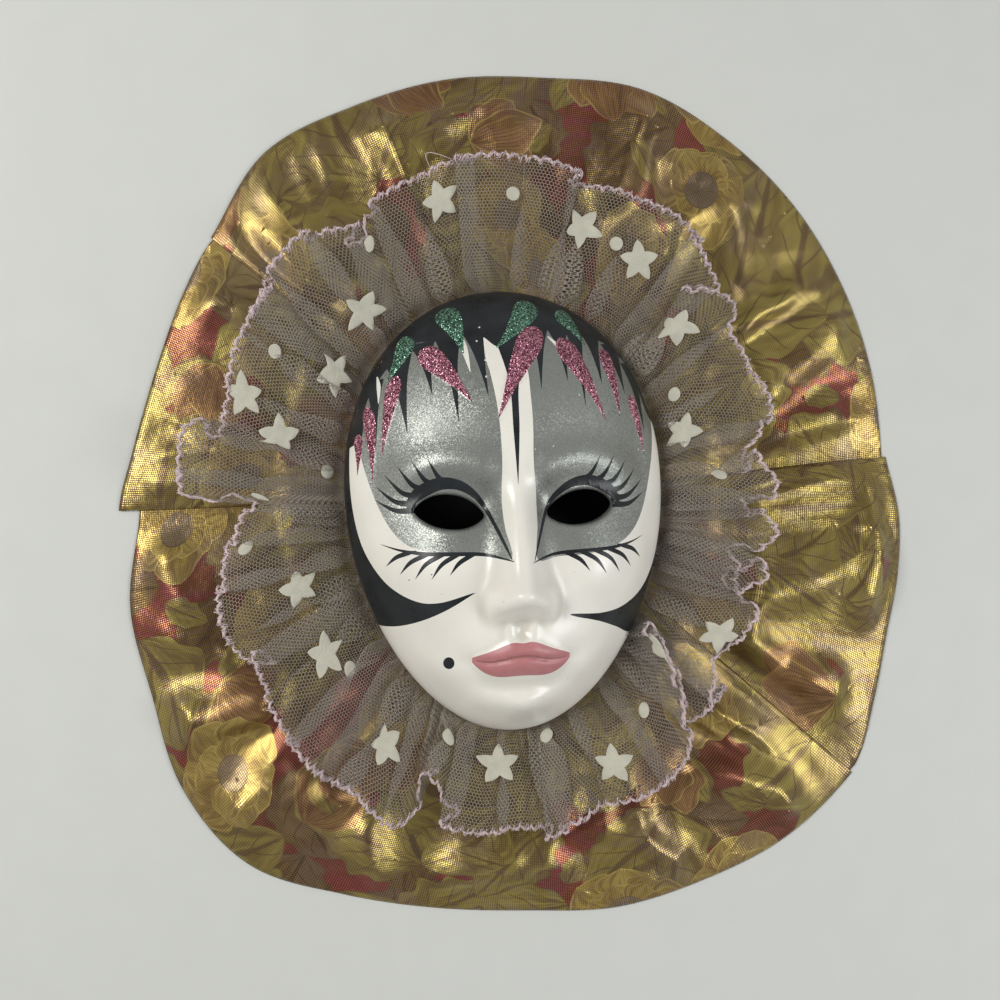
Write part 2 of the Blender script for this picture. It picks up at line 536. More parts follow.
def eye_paint():
    """Eyeliner and lashes round both eyes; the second eye is a freehand mirror of the first."""
    shapes = []
    for flip in (False, True):
        def place(points, flip=flip):
            return mirrored(points, 0.985, (0.6, -0.7)) if flip else np.asarray(points, dtype=float)
        thin = 0.86 if flip else 1.0
        shapes.append(stroke(place(LINER[0]), np.array(LINER[1]) * thin, 0.5))
        shapes.append(stroke(place(LOWER_LINE[0]), np.array(LOWER_LINE[1]) * thin, 0.5))
        for lash in UPPER_LASHES:
            shapes.append(stroke(place(lash), (2.3, 1.6, 0.06), 0.5))
        for lash in LOWER_LASHES:
            shapes.append(stroke(place(lash), (0.5, 1.5, 1.35, 0.06), 0.5))
    return shapes


def lip_paint():
    x = np.linspace(-17.2, 17.2, 49)
    line, upper, lower, _ = lip_lines(x)
    both = np.vstack([np.column_stack([x, line + 1.04 * upper]),
                      np.column_stack([x, line - 1.02 * lower])[::-1]])
    parting = stroke(np.column_stack([x[2:-2:4], line[2:-2:4]]),
                     0.25 + 0.75 * (1 - (x[2:-2:4] / 17) ** 2))
    return [both], [parting]


# Glitter drops: middle of the head, tip of the tail, radius and bend
GREEN_DROPS = [
    ((-19.6, 69.5), (-15.6, 56), 4.6, 0.6),
    ((8, 72), (-4, 57.5), 4.4, 0.8),
    ((22, 69.5), (29, 58.5), 3, 0.4),
    ((-35, 61.5), (-42.5, 47), 3, 0.4),
]
PINK_DROPS = [
    ((-27.2, 55), (-14, 38.6), 4.4, 0.6),
    ((9.4, 61), (-5.2, 32.5), 4.6, -0.8),
    ((20.6, 57.4), (33.8, 31), 3.8, 0.8),
    ((36.2, 55), (39.8, 32.6), 2.6, 0.8),
    ((-39.4, 47), (-45.2, 21.5), 2.5, -0.6),
    ((-49.4, 37), (-48.8, 12.5), 2.1, 0.4),
    ((45.6, 38.5), (49.6, 18.5), 1.8, 0.4),
    ((-53.2, 28), (-54, 15), 1.5, 0.2),
]
# Beauty spot: middle and half sizes
BEAUTY_SPOT = (-25, -52, 1.9, 2.2)
# Chips and specks: what shows in them, seed, count, box and size
CHIPS = (
    ("glaze", 3, 5, (-12, 44, -6, 74), 0.45),
    ("glaze", 4, 6, (2, 20, 50, 40), 0.32),
    ("black", 5, 3, (-40, -24, -30, -17), 0.3),
    ("black", 8, 4, (-20, -76, 36, -28), 0.2),
)


def chips(seed, count, box, size):
    """Tiny irregular marks scattered over a box, for chips and specks in the glaze."""
    draw = random.Random(seed)
    marks = []
    for _ in range(count):
        x, y = draw.uniform(box[0], box[2]), draw.uniform(box[1], box[3])
        corners = draw.randint(5, 7)
        angles = [2 * math.pi * (i + draw.uniform(-0.25, 0.25)) / corners for i in range(corners)]
        reach = [size * draw.uniform(0.45, 1.1) for _ in range(corners)]
        marks.append(np.array([(x + r * math.cos(a), y + r * math.sin(a)) for a, r in zip(angles, reach)]))
    return marks


def oval(x, y, half_width, half_height, count):
    angle = np.linspace(0, 2 * math.pi, count, endpoint=False)
    return np.column_stack([x + half_width * np.cos(angle), y + half_height * np.sin(angle)])


PAINTS = ("glaze", "silver", "black", "green", "pink", "lip", "lip_line")


def paint_layers():
    """Every painted shape as (paint, outline), in the order in which the layers go on."""
    lip, parting = lip_paint()
    layers = [("silver", shape) for shape in silver_panels()]
    layers += [("black", shape) for shape in side_bands() + fringe()]
    layers += [("glaze", shape) for shape in white_slivers()]
    layers += [("black", shape) for shape in eye_paint()]
    layers += [("black", oval(*BEAUTY_SPOT, 22))]
    layers += [("green", teardrop(*drop)) for drop in GREEN_DROPS]
    layers += [("pink", teardrop(*drop)) for drop in PINK_DROPS]
    layers += [("lip", shape) for shape in lip] + [("lip_line", shape) for shape in parting]
    return layers + [(paint, mark) for paint, *scatter in CHIPS for mark in chips(*scatter)]


def inside(outline, points):
    """Which points lie inside a closed outline."""
    low, high = outline.min(axis=0), outline.max(axis=0)
    near = np.flatnonzero(np.all((points >= low) & (points <= high), axis=1))
    found = np.zeros(len(points), dtype=bool)
    if not len(near):
        return found
    x, y = points[near, 0], points[near, 1]
    odd = np.zeros(len(near), dtype=bool)
    for (x1, y1), (x2, y2) in zip(outline, np.roll(outline, -1, axis=0)):
        if y1 == y2:
            continue
        crosses = (y1 > y) != (y2 > y)
        odd ^= crosses & (x < (x2 - x1) * (y - y1) / (y2 - y1) + x1)
    found[near] = odd
    return found


def distance_to_line(line, points):
    """Distance of each point from an open line."""
    best = np.full(len(points), np.inf)
    for a, b in zip(line[:-1], line[1:]):
        along = b - a
        t = np.clip(((points - a) @ along) / max(along @ along, 1e-9), 0, 1)
        best = np.minimum(best, np.linalg.norm(points - a - t[:, None] * along, axis=1))
    return best


def distance_to(outline, points):
    """Distance of each point from a closed outline."""
    return distance_to_line(np.vstack([outline, outline[:1]]), points)


# Meshes


def new_piece(name, slot, points, faces, materials, face_material=None):
    """Object from points in millimetres and faces that all have the same number of corners."""
    points, faces = np.asarray(points, dtype=float) * MM, np.asarray(faces, dtype=np.int32)
    mesh = bpy.data.meshes.new(name)
    mesh.vertices.add(len(points))
    mesh.vertices.foreach_set("co", points.ravel())
    mesh.loops.add(faces.size)
    mesh.loops.foreach_set("vertex_index", faces.ravel())
    mesh.polygons.add(len(faces))
    mesh.polygons.foreach_set("loop_start", np.arange(0, faces.size, faces.shape[1], dtype=np.int32))
    mesh.update(calc_edges=True)
    for material in materials:
        mesh.materials.append(material)
    if face_material is not None:
        mesh.polygons.foreach_set("material_index", np.asarray(face_material, dtype=np.int32))
    mesh.shade_smooth()
    piece = bpy.data.objects.new(name, mesh)
    bpy.context.scene.collection.objects.link(piece)
    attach(piece, "root")
    return piece


def set_uv(piece, name, corner_uv):
    layer = piece.data.uv_layers.new(name=name)
    layer.data.foreach_set("uv", np.asarray(corner_uv, dtype=float).ravel())


def triangulated(points, edges):
    """Triangles over the points that keep the edges, and the points after crossings are added."""
    result = delaunay_2d_cdt([Vector(p) for p in points], edges, [], 0, 1e-4, False)
    flat = np.array([tuple(p) for p in result[0]])
    faces = np.array([f for f in result[2] if len(f) == 3])
    a, b, c = flat[faces[:, 0]], flat[faces[:, 1]], flat[faces[:, 2]]
    clockwise = (b[:, 0] - a[:, 0]) * (c[:, 1] - a[:, 1]) < (b[:, 1] - a[:, 1]) * (c[:, 0] - a[:, 0])
    faces[clockwise] = faces[clockwise][:, ::-1]
    return flat, faces


def ring_edges(outlines, first=0):
    """Edges round closed outlines whose points are numbered one after another from first."""
    edges = []
    for outline in outlines:
        count = len(outline)
        edges += [(first + i, first + (i + 1) % count) for i in range(count)]
        first += count
    return edges


def clear_of(held, loose, gap):
    """Those of the loose points that lie more than gap away from every held one."""
    tree = KDTree(len(held))
    for i, (x, y) in enumerate(held):
        tree.insert((x, y, 0), i)
    tree.balance()
    return loose[np.array([tree.find((x, y, 0))[2] > gap for x, y in loose])]


def used_points(faces):
    """Numbers of the points that the faces use, and the faces renumbered to match."""
    used, index = np.unique(faces, return_inverse=True)
    return used, index.reshape(faces.shape)


def joined(parts):
    """Points and faces of several parts in one."""
    points, faces, count = [], [], 0
    for part_points, part_faces in parts:
        points.append(part_points)
        faces.append(part_faces + count)
        count += len(part_points)
    return np.vstack(points), np.vstack(faces)


def grid_quads(columns, rows, open_columns=0, open_rows=0):
    """Quads over a grid of points numbered column by column, closed round unless said to be open."""
    i, j = np.meshgrid(np.arange(columns - open_columns), np.arange(rows - open_rows), indexing="ij")
    i, j = i.ravel(), j.ravel()
    ahead, beside = (i + 1) % columns, (j + 1) % rows
    return np.column_stack([i * rows + j, i * rows + beside, ahead * rows + beside, ahead * rows + j])


def band_faces(first, second):
    """Triangles between two rings of point numbers of equal length."""
    first_next, second_next = np.roll(first, -1), np.roll(second, -1)
    return np.vstack([np.column_stack([first, first_next, second_next]),
                      np.column_stack([first, second_next, second])])


def boundary_loops(faces):
    """Closed loops of point numbers along the open edges of a triangle mesh, the longest first."""
    edges = {}
    for face in faces.tolist():
        for a, b in zip(face, face[1:] + face[:1]):
            edges[(a, b)] = True
    following = {a: b for a, b in edges if (b, a) not in edges}
    loops = []
    while following:
        start, here = next(iter(following.items()))
        del following[start]
        loop = [start]
        while here != start:
            loop.append(here)
            here = following.pop(here)
        loops.append(np.array(loop))
    return sorted(loops, key=len, reverse=True)


def face_grid(spacing, inset, reach, eye_gap):
    """Grid over the face that stops short of the rim, less its inset, and stays clear of the eyes."""
    rows = int(2 * HALF_HEIGHT / (spacing * HEX_ROW)) + 2
    columns = int(2 * HALF_WIDTH * (1 + TAPER) / spacing) + 2
    i, j = np.meshgrid(np.arange(columns), np.arange(rows))
    x = (i - columns / 2 + 0.5 * (j % 2)) * spacing
    grid = np.column_stack([x.ravel(), ((j - rows / 2) * spacing * HEX_ROW).ravel()])
    scale = 1 - inset / HALF_WIDTH
    clear = share_to_rim(grid[:, 0] / scale, grid[:, 1] / scale) < reach
    for side in SIDES:
        clear &= ~inside(eye_outline(side, eye_gap), grid)
    return grid[clear]


def face_front(layers):
    """Outer skin of the face: points, triangles, and the paint of each triangle."""
    rim_angle = np.linspace(0, 2 * math.pi, RIM_POINTS, endpoint=False)
    rim = np.column_stack([np.cos(rim_angle), np.sin(rim_angle)]) * rim_radius(rim_angle)[:, None]
    eyes = [eye_outline(side) for side in SIDES]
    fixed = [rim] + eyes + [outline for _, outline in layers]
    held = np.vstack(fixed)
    loose = [rim * (1 - RIM_CROWDING * k**2) for k in range(1, RIM_RINGS + 1)]
    loose += [eye_outline(side, grow) for side in SIDES for grow in EYE_RINGS]
    loose.append(face_grid(GRID, 0, GRID_REACH, GRID_EYE_GAP))
    loose = clear_of(held, np.vstack(loose), GRID_LINE_GAP)
    flat, faces = triangulated(np.vstack([held, loose]), ring_edges(fixed))
    middle = flat[faces].mean(axis=1)
    keep = share_to_rim(middle[:, 0], middle[:, 1]) < 1
    for eye in eyes:
        keep &= ~inside(eye, middle)
    faces, middle = faces[keep], middle[keep]
    paint = np.zeros(len(faces), dtype=np.int32)
    for name, outline in layers:
        paint[inside(outline, middle)] = PAINTS.index(name)
    height = outer_height(flat[:, 0], flat[:, 1])
    for eye in eyes:
        near = 1 - np.clip(distance_to(eye, flat) / EYE_ROLL, 0, 1)
        height -= EYE_DROP * near**2.2
    for name, outline in layers:
        if name in ("pink", "green"):
            within = inside(outline, flat)
            rise = GLITTER_SLOPE * distance_to(outline, flat[within])
            height[within] += np.minimum(rise, GLITTER_HEIGHT)
    used, faces = used_points(faces)
    return np.column_stack([flat, height])[used], faces, paint


def face_back(inner_edge, edge, out, eyes):
    """Plain inside of the shell: points, with the inner edge and the eyes first, and triangles."""
    outlines = [inner_edge] + eyes
    rings = [edge[::4] - out[::4] * (RIM_WIDTH + depth) for depth in INNER_RINGS]
    grid = face_grid(INNER_GRID, RIM_WIDTH, INNER_REACH, INNER_EYE_GAP)
    flat, faces = triangulated(np.vstack(outlines + rings + [grid]), ring_edges(outlines))
    middle = flat[faces].mean(axis=1)
    keep = inside(inner_edge, middle)
    for eye in eyes:
        keep &= ~inside(eye, middle)
    angle = np.arctan2(flat[:, 1], flat[:, 0])
    rho = np.hypot(flat[:, 0], flat[:, 1]) / (rim_radius(angle) - RIM_WIDTH)
    height = inner_height(flat[:, 0], flat[:, 1], np.minimum(rho, 1))
    return np.column_stack([flat, height]), faces[keep][:, ::-1]


def face_mesh(layers):
    """Whole shell: the outer skin, the rounded rim, the eye walls and the plain inside."""
    front, faces, paint = face_front(layers)
    rim, *eye_loops = boundary_loops(faces)
    points, all_faces, all_paint = [front], [faces], [paint]
    count = len(front)

    def join(first, second, name):
        band = band_faces(first, second)[:, ::-1]
        all_faces.append(band)
        all_paint.append(np.full(len(band), PAINTS.index(name)))

    edge = front[rim, :2]
    out = unit(edge)
    ring = rim
    for inset, height in RIM_UNDERSIDE:
        points.append(np.column_stack([edge - out * inset, np.full(len(edge), height)]))
        following = np.arange(count, count + len(edge))
        count += len(edge)
        join(ring, following, "glaze")
        ring = following
    inner_edge = edge - out * RIM_WIDTH
    back, back_faces = face_back(inner_edge, edge, out, [front[loop, :2] for loop in eye_loops])
    points.append(back)
    all_faces.append(back_faces + count)
    all_paint.append(np.zeros(len(back_faces), dtype=np.int32))
    for loop, wall in [(ring, "glaze")] + [(eye, "silver") for eye in eye_loops]:
        join(loop, count + np.arange(len(loop)), wall)
        count += len(loop)
    return np.vstack(points), np.vstack(all_faces), np.concatenate(all_paint)


def to_frame(points):
    """Points of the face in the frame's axes."""
    flat = turned(points[:, :2], MASK_ROLL)
    return np.column_stack([MASK_X + flat[:, 0], MASK_Y + flat[:, 1], points[:, 2] + RIM_Z])


# Collar: a doubled strip of printed gold fabric, in four lengths


def cloudy(x, y, seed):
    """Smooth noise from -1 to 1 with bumps about one unit apart."""
    size = 64
    table = np.random.RandomState(seed).uniform(-1, 1, (size, size))
    i, j = np.floor(x).astype(int), np.floor(y).astype(int)
    f, g = x - i, y - j
    f, g = f * f * (3 - 2 * f), g * g * (3 - 2 * g)
    low = table[i % size, j % size] * (1 - f) + table[(i + 1) % size, j % size] * f
    high = table[i % size, (j + 1) % size] * (1 - f) + table[(i + 1) % size, (j + 1) % size] * f
    return low * (1 - g) + high * g


def creased(x, y, seed):
    """Noise from -1 to 1 with sharp crests and soft hollows."""
    return 1 - 2 * np.abs(cloudy(x, y, seed))


def uneven(u, seed):
    """Smooth noise from -1 to 1 along a line."""
    return cloudy(u, u * 0, seed)


def rim_from_origin():
    """Directions from the origin and distances of the mask's edge in them."""
    x, y = beside_rim(np.linspace(0, 2 * math.pi, 1440, endpoint=False), 0)
    angle = np.arctan2(y, x)
    order = np.argsort(angle)
    return angle[order], np.hypot(x, y)[order]


RIM_ANGLES, RIM_DISTANCES = rim_from_origin()


def soft_min(a, b):
    """Smaller of two heights, rounded where they meet."""
    firmness = 0.9
    low = np.minimum(a, b)
    return low - np.log(np.exp(-firmness * (a - low)) + np.exp(-firmness * (b - low))) / firmness


def shown_length(length):
    """Length of cloth between the two ends of a collar length, without its tucked part."""
    return math.radians(length[0] - length[1]) * COLLAR_MIDDLE


def collar_relief(x, y, angle, edge_distance):
    """Folds and crumples that stand up from the smooth collar."""
    wander = [WANDER["height"] * cloudy(x / WANDER["size"], y / WANDER["size"], seed) for seed in (25, 26)]
    points = np.column_stack([x + wander[0], y + wander[1]])
    height = np.zeros(len(x))
    for line, rise, width in COLLAR_RIDGES:
        away = distance_to_line(np.array(line, dtype=float), points)
        height += rise * np.exp(-((away / (RIDGES["spread"] * width)) ** 2))
    change = 1 + RIDGES["change"] * cloudy(x / RIDGES["size"], y / RIDGES["size"], 27)
    height = soft_min(RIDGES["scale"] * height * change, RIDGES["limit"])
    around = angle * COLLAR_MIDDLE
    bend = FLUTES["bend"] * cloudy(x / FLUTES["bend_size"], y / FLUTES["bend_size"], 21)
    for noise, way, seed in ((FLUTES, around + bend, 22), (CRUMPLES, around - bend, 23)):
        height += noise["height"] * creased(way / noise["around"], edge_distance / noise["across"], seed)
    return height + CRINKLES["height"] * cloudy(x / CRINKLES["size"], y / CRINKLES["size"], 24)


def fold_thickness(edge_distance, room):
    """Height of the doubled cloth over its underside, pressed flat where there is little room."""
    puff = PUFF["height"] * (1 - np.exp(-edge_distance / PUFF["reach"]))
    puff += PUFF["roll"] * np.sqrt(np.minimum(edge_distance / PUFF["roll_width"], 1))
    return room * (1 - np.exp(-puff / room))


def layers_at(s, past):
    """How high the top and the underside lie along a length, as shares of its thickness."""
    under_next = smooth(TUCKED_END["from"], 0, past)
    top = 1 - FREE_END["top"] * np.exp(-s / FREE_END["top_reach"])
    top *= 1 - TUCKED_END["press"] * under_next
    top *= 1 - TUCKED_END["thin"] * smooth(0, COLLAR_TUCK, past)
    bottom = FREE_END["under"] * np.exp(-s / FREE_END["under_reach"]) * (1 - under_next)
    middle = 0.5 * (top + bottom)
    rounded = np.sqrt(1 - (1 - np.minimum(s / FREE_END["round"], 1)) ** 2)
    return middle + (top - middle) * rounded, middle + (bottom - middle) * rounded


def end_gathers(s, start, edge_distance):
    """Sharp little gathers in from the free end of a length."""
    sway = GATHERS["sway"] * np.sin(edge_distance / GATHERS["sway_length"])
    lean = (s + sway + start) / GATHERS["pitch"]
    crests = creased(lean, edge_distance / GATHERS["across"], 28)
    return GATHERS["height"] * np.exp(-s / GATHERS["reach"]) * crests


def collar_place(length, s, w):
    """Where a point of the cloth lies: s along the strip, w in from the outer fold, on top if positive."""
    start, _, radii = length
    whole = shown_length(length)
    past = s - whole
    angle = math.radians(start) - s / COLLAR_MIDDLE
    outer = through(radii, s / whole) - TUCKED_END["draw_in"] * np.maximum(past, 0)
    direction = (angle + math.pi) % (2 * math.pi) - math.pi
    rim = np.interp(direction, RIM_ANGLES, RIM_DISTANCES, period=2 * math.pi)
    inner = rim - BAND_UNDER_RIM
    radius = outer - (outer - inner) * np.abs(w) / COLLAR_WIDTH
    x, y = radius * np.cos(angle), radius * np.sin(angle)
    edge_distance, beyond_rim = outer - radius, radius - rim
    base = COLLAR_LOW + CARD_TOP * (1 - smooth(*CARD_STEP, beyond_rim))
    room = ROOM + ROOM_SLOPE * np.maximum(beyond_rim, 0) - base
    thickness = fold_thickness(edge_distance, room)
    top, bottom = layers_at(s, past)
    fade = (1 - smooth(*TUCKED_END["calm"], past)) * smooth(*FROM_FOLD, edge_distance)
    fade *= np.clip(RELIEF_AT_RIM + beyond_rim / RELIEF_FULL, RELIEF_AT_RIM, 1)
    relief = collar_relief(x, y, direction, edge_distance) * smooth(*FROM_END, s)
    relief += end_gathers(s, start, edge_distance) * smooth(*GATHERS_FROM_END, s)
    ceiling = room + np.maximum(beyond_rim - HIGH_FROM, 0) * HIGH_SLOPE
    height = np.maximum(thickness * top + relief * fade, PUFF["least"] * thickness * top)
    z = base + np.where(w > 0, soft_min(height, ceiling), thickness * bottom)
    return np.column_stack([x, y, z])


# Print of the collar: leaves, flowers and buds over a crimson ground, in cloth millimetres


class Petal:
    """One leaf or petal: its outline and its own coordinates, along from 0 to 1 and across from -1 to 1."""

    def __init__(self, kind, base, direction, length, half_width, draw, bend=0.0, waves=3.0, blunt=0.8):
        self.kind, self.length, self.half_width, self.blunt = kind, length, half_width, blunt
        self.bend, self.waves, self.phase = bend, waves, any_direction(draw)
        self.tone = draw.random()
        self.base = np.array(base, dtype=float)
        self.along = np.array([math.cos(direction), math.sin(direction)])
        self.across = np.array([-self.along[1], self.along[0]])

    def width_at(self, a):
        body = np.sin(math.pi * np.clip(a, 0, 1) ** self.blunt) ** 0.75
        return self.half_width * body * (1 + 0.1 * np.sin(2 * math.pi * self.waves * a + self.phase))

    def middle_at(self, a):
        return self.bend * self.length * np.sin(math.pi * np.clip(a, 0, 1))

    def outline(self, step):
        a = np.linspace(0, 1, max(6, int(self.length / step)) + 1)
        ripple = 1 + 0.05 * np.sin(2 * math.pi * (self.waves + 1) * a + 2 * self.phase)
        right = self.middle_at(a) + self.width_at(a)
        left = self.middle_at(a) - self.width_at(a) * ripple
        forth = np.concatenate([a, a[-2:0:-1]]) * self.length
        aside = np.concatenate([right, left[-2:0:-1]])
        return self.base + forth[:, None] * self.along + aside[:, None] * self.across

    def local(self, points):
        rel = points - self.base
        a = rel @ self.along / self.length
        b = (rel @ self.across - self.middle_at(a)) / np.maximum(self.width_at(a), 0.15 * self.half_width)
        return a, b


class Eye(Petal):
    """Round middle of a flower."""

    def outline(self, step):
        return oval(*self.base, self.length, self.length, max(12, int(6.28 * self.length / step)))

    def local(self, points):
        rel = points - self.base
        return np.hypot(rel[:, 0], rel[:, 1]) / self.length, np.arctan2(rel[:, 1], rel[:, 0]) / math.pi


def any_direction(draw):
    return draw.uniform(0, 6.28)


def behind(x, y, heading, distance):
    """Place that lies a distance back from another one, against its heading."""
    return x - distance * math.cos(heading), y - distance * math.sin(heading)


def leaf_sprig(x, y, draw):
    heading = any_direction(draw)
    start = behind(x, y, heading, 10)
    count = draw.choice((2, 2, 3))
    for k in range(count):
        turn = heading + (k - (count - 1) / 2) * draw.uniform(0.8, 1.15)
        length = draw.uniform(36, 54)
        half_width = length * draw.uniform(0.32, 0.42)
        yield Petal("leaf", start, turn, length, half_width, draw,
                    bend=draw.uniform(-0.1, 0.1), waves=draw.choice((3, 4)))


def flower(x, y, draw):
    turn = any_direction(draw)
    for ring, count, reach in ((0, 8, 19.0), (1, 7, 13.5)):
        for k in range(count):
            direction = turn + (k + 0.5 * ring) * 2 * math.pi / count + draw.uniform(-0.15, 0.15)
            length = reach * draw.uniform(0.82, 1.12)
            half_width = length * draw.uniform(0.4, 0.52)
            yield Petal("petal", (x, y), direction, length, half_width, draw, waves=2, blunt=1.5)
    yield Eye("eye", (x, y), 0.0, draw.uniform(5.4, 7.0), 1.0, draw)


def bud(x, y, draw):
    heading = any_direction(draw)
    for turn in (-0.75, 0.8):
        length = draw.uniform(22, 30)
        yield Petal("leaf", (x, y), heading + turn, length, 6.5, draw, bend=0.05, waves=2, blunt=0.9)
    for turn in (-0.42, 0.44, 0.0):
        length = draw.uniform(22, 29)
        direction = heading + turn + draw.uniform(-0.1, 0.1)
        half_width = length * draw.uniform(0.3, 0.38)
        yield Petal("bud", (x, y), direction, length, half_width, draw, bend=0.04, waves=2, blunt=1.05)


def bare(x, y, draw):
    """Stretch of bare ground with one small leaf in it."""
    heading = any_direction(draw)
    yield Petal("leaf", behind(x, y, heading, 8), heading, draw.uniform(15, 22), 5.0, draw)


def shadow_leaf(x, y, draw):
    """Dull brown leaf that lies behind the others."""
    heading, length = any_direction(draw), draw.uniform(30, 44)
    start, bend = behind(x, y, heading, 0.5 * length), draw.uniform(-0.1, 0.1)
    yield Petal("shade", start, heading, length, length * 0.34, draw, bend=bend, waves=4, blunt=0.85)


# Rows of motifs: distances from the outer fold, negative on the underside, which has only leaves
SHADOW_ROWS, SHADOW_REPEAT = (-60, -4, 24, 52, 80), 37.0
MOTIF_ROWS, TOP_ROWS_FROM = (-84, -52, -6, 22, 50, 78), -20
UNDER_KINDS = (leaf_sprig,)
TOP_KINDS = (leaf_sprig,) * 5 + (flower, flower, bud, bud, bare, bare)


def print_motifs(long, draw):
    """Petals of a length of print, in painting order, leaves below and flowers on top."""
    groups = {shadow_leaf: [], leaf_sprig: [], bare: [], bud: [], flower: []}
    for w in SHADOW_ROWS:
        for x in np.arange(draw.uniform(0, 18), long, SHADOW_REPEAT):
            groups[shadow_leaf].extend(shadow_leaf(x + draw.uniform(-6, 6), w, draw))
    for row, w in enumerate(MOTIF_ROWS):
        for column in range(int(long / PRINT_REPEAT) + 2):
            x = (column - 0.5 + 0.5 * (row % 2)) * PRINT_REPEAT + draw.uniform(-7, 7)
            y = w + draw.uniform(-6, 6)
            kind = draw.choice(UNDER_KINDS if w < TOP_ROWS_FROM else TOP_KINDS)
            groups[kind].extend(kind(x, y, draw))
    return sum(groups.values(), [])


PRINT_KINDS = ("ground", "leaf", "petal", "bud", "eye", "shade")


def frame_edges(low, high, step):
    """Corners and sides of a rectangle as points about step apart."""
    corners = np.array([low, (high[0], low[1]), high, (low[0], high[1])], dtype=float)
    sides = []
    for a, b in zip(corners, np.roll(corners, -1, axis=0)):
        count = int(np.linalg.norm(b - a) / step)
        sides.append(a + (b - a) * (np.arange(count) / count)[:, None])
    return np.vstack(sides)


def cloth_grid(long, low, high, spacing):
    rows, columns = int((high - low) / (spacing * HEX_ROW)), int(long / spacing)
    i, j = np.meshgrid(np.arange(columns), np.arange(rows))
    x = (i + 0.4 + 0.5 * (j % 2)) * long / (columns + 0.3)
    return np.column_stack([x.ravel(), low + (j.ravel() + 0.5) * (high - low) / rows])


def cloth_points(long):
    """Loose points over a length of cloth, closer together where it is seen and where it bends."""
    grids = [cloth_grid(long, 1.8, 52, 1.5), cloth_grid(long, 52, COLLAR_WIDTH, 2.2),
             cloth_grid(long, -COLLAR_WIDTH, -2, 5.0)]
    s, w = np.arange(1, long - 1, 1.5), np.arange(1 - COLLAR_WIDTH, COLLAR_WIDTH - 1, 1.5)
    fold = [np.column_stack([s, np.full(len(s), row)]) for row in (-0.9, -0.3, 0.3, 0.9)]
    end = [np.column_stack([np.full(len(w), column), w]) for column in (0.25, 0.7, 1.3)]
    return np.vstack(grids + fold + end)


def printed_length(number, length):
    """Cloth triangles of one length: points in the cloth, faces, petal of each face."""
    draw = random.Random(100 + number)
    long = shown_length(length) + COLLAR_TUCK
    drawn = []
    for petal in print_motifs(long, draw):
        outline = petal.outline(PRINT_STEP if petal.base[1] > FINE_FROM else UNDER_STEP)
        if outline[:, 0].max() > 0 and outline[:, 0].min() < long:
            drawn.append((petal, outline))
    s = np.arange(0.8, long - 0.8, 0.9)
    fold_line = np.column_stack([s, np.zeros(len(s))])
    rings = [frame_edges((0, -COLLAR_WIDTH), (long, COLLAR_WIDTH), 1.8)] + [outline for _, outline in drawn]
    edges = [(i, i + 1) for i in range(len(s) - 1)] + ring_edges(rings, len(s))
    held = np.vstack([fold_line] + rings)
    loose = clear_of(held, cloth_points(long), 0.5)
    flat, faces = triangulated(np.vstack([held, loose]), edges)
    middle = flat[faces].mean(axis=1)
    keep = (middle[:, 0] > 0) & (middle[:, 0] < long) & (np.abs(middle[:, 1]) < COLLAR_WIDTH)
    faces, middle = faces[keep], middle[keep]
    owner = np.full(len(faces), -1)
    for i, (_, outline) in enumerate(drawn):
        owner[inside(outline, middle)] = i
    return flat, faces, owner, drawn


def collar_mesh(number, length):
    """One length: points, faces, kind of print, and cloth, petal and edge coordinates of the corners."""
    flat, faces, owner, drawn = printed_length(number, length)
    corners = flat[faces]
    petal_uv = corners / 40
    tone = cloudy(*(corners.mean(axis=1).T / 18), 31)
    far_from_edge = np.full(faces.shape, 9.0)
    edge_uv = np.dstack([far_from_edge, np.repeat(tone[:, None], 3, 1)])
    kind = np.zeros(len(faces), dtype=np.int32)
    for i, (petal, outline) in enumerate(drawn):
        own = owner == i
        if not own.any():
            continue
        points = corners[own].reshape(-1, 2)
        petal_uv[own] = np.column_stack(petal.local(points)).reshape(-1, 3, 2)
        edge = distance_to(outline, points).reshape(-1, 3)
        edge_uv[own] = np.dstack([edge, np.full(edge.shape, petal.tone)])
        kind[own] = PRINT_KINDS.index(petal.kind)
    used, faces = used_points(faces)
    places = collar_place(length, flat[used, 0], flat[used, 1])
    return places, faces, kind, corners * MM, petal_uv, edge_uv


# Ruffle: one strip of net, gathered round the mask


def pleats(total):
    """Pleats along the strip: middle, half length of cloth, depth, side on top, and how far out it runs."""
    draw = random.Random(5)
    place, found = 0.0, []
    while place < total - PLEAT["gap"][0]:
        gap = draw.uniform(*PLEAT["gap"])
        half = min(0.5 * gap, draw.uniform(*PLEAT["half"]))
        depth = half * draw.uniform(*PLEAT["depth"])
        side = draw.choice((-1, 1))
        found.append((place + gap / 2, half, depth, side, draw.uniform(*PLEAT["reach"])))
        place += gap
    return found


def lengths_along(path):
    """Distance of each point of a path from its start, along the path."""
    return np.concatenate([[0], np.cumsum(np.linalg.norm(np.diff(path, axis=0), axis=1))])


def sampled(values, along, u):
    """Rows of values that are given at the distances along, at the distances u instead."""
    return np.column_stack([np.interp(u, along, column) for column in values.T])


def evened(values, spread, reach):
    """Values round a closed strip, averaged over their neighbours with bell-shaped weights."""
    steps = np.arange(-reach, reach + 1)
    weight = np.exp(-0.5 * (steps / spread) ** 2)
    return sum(share * np.roll(values, k, axis=0) for k, share in zip(steps, weight / weight.sum()))


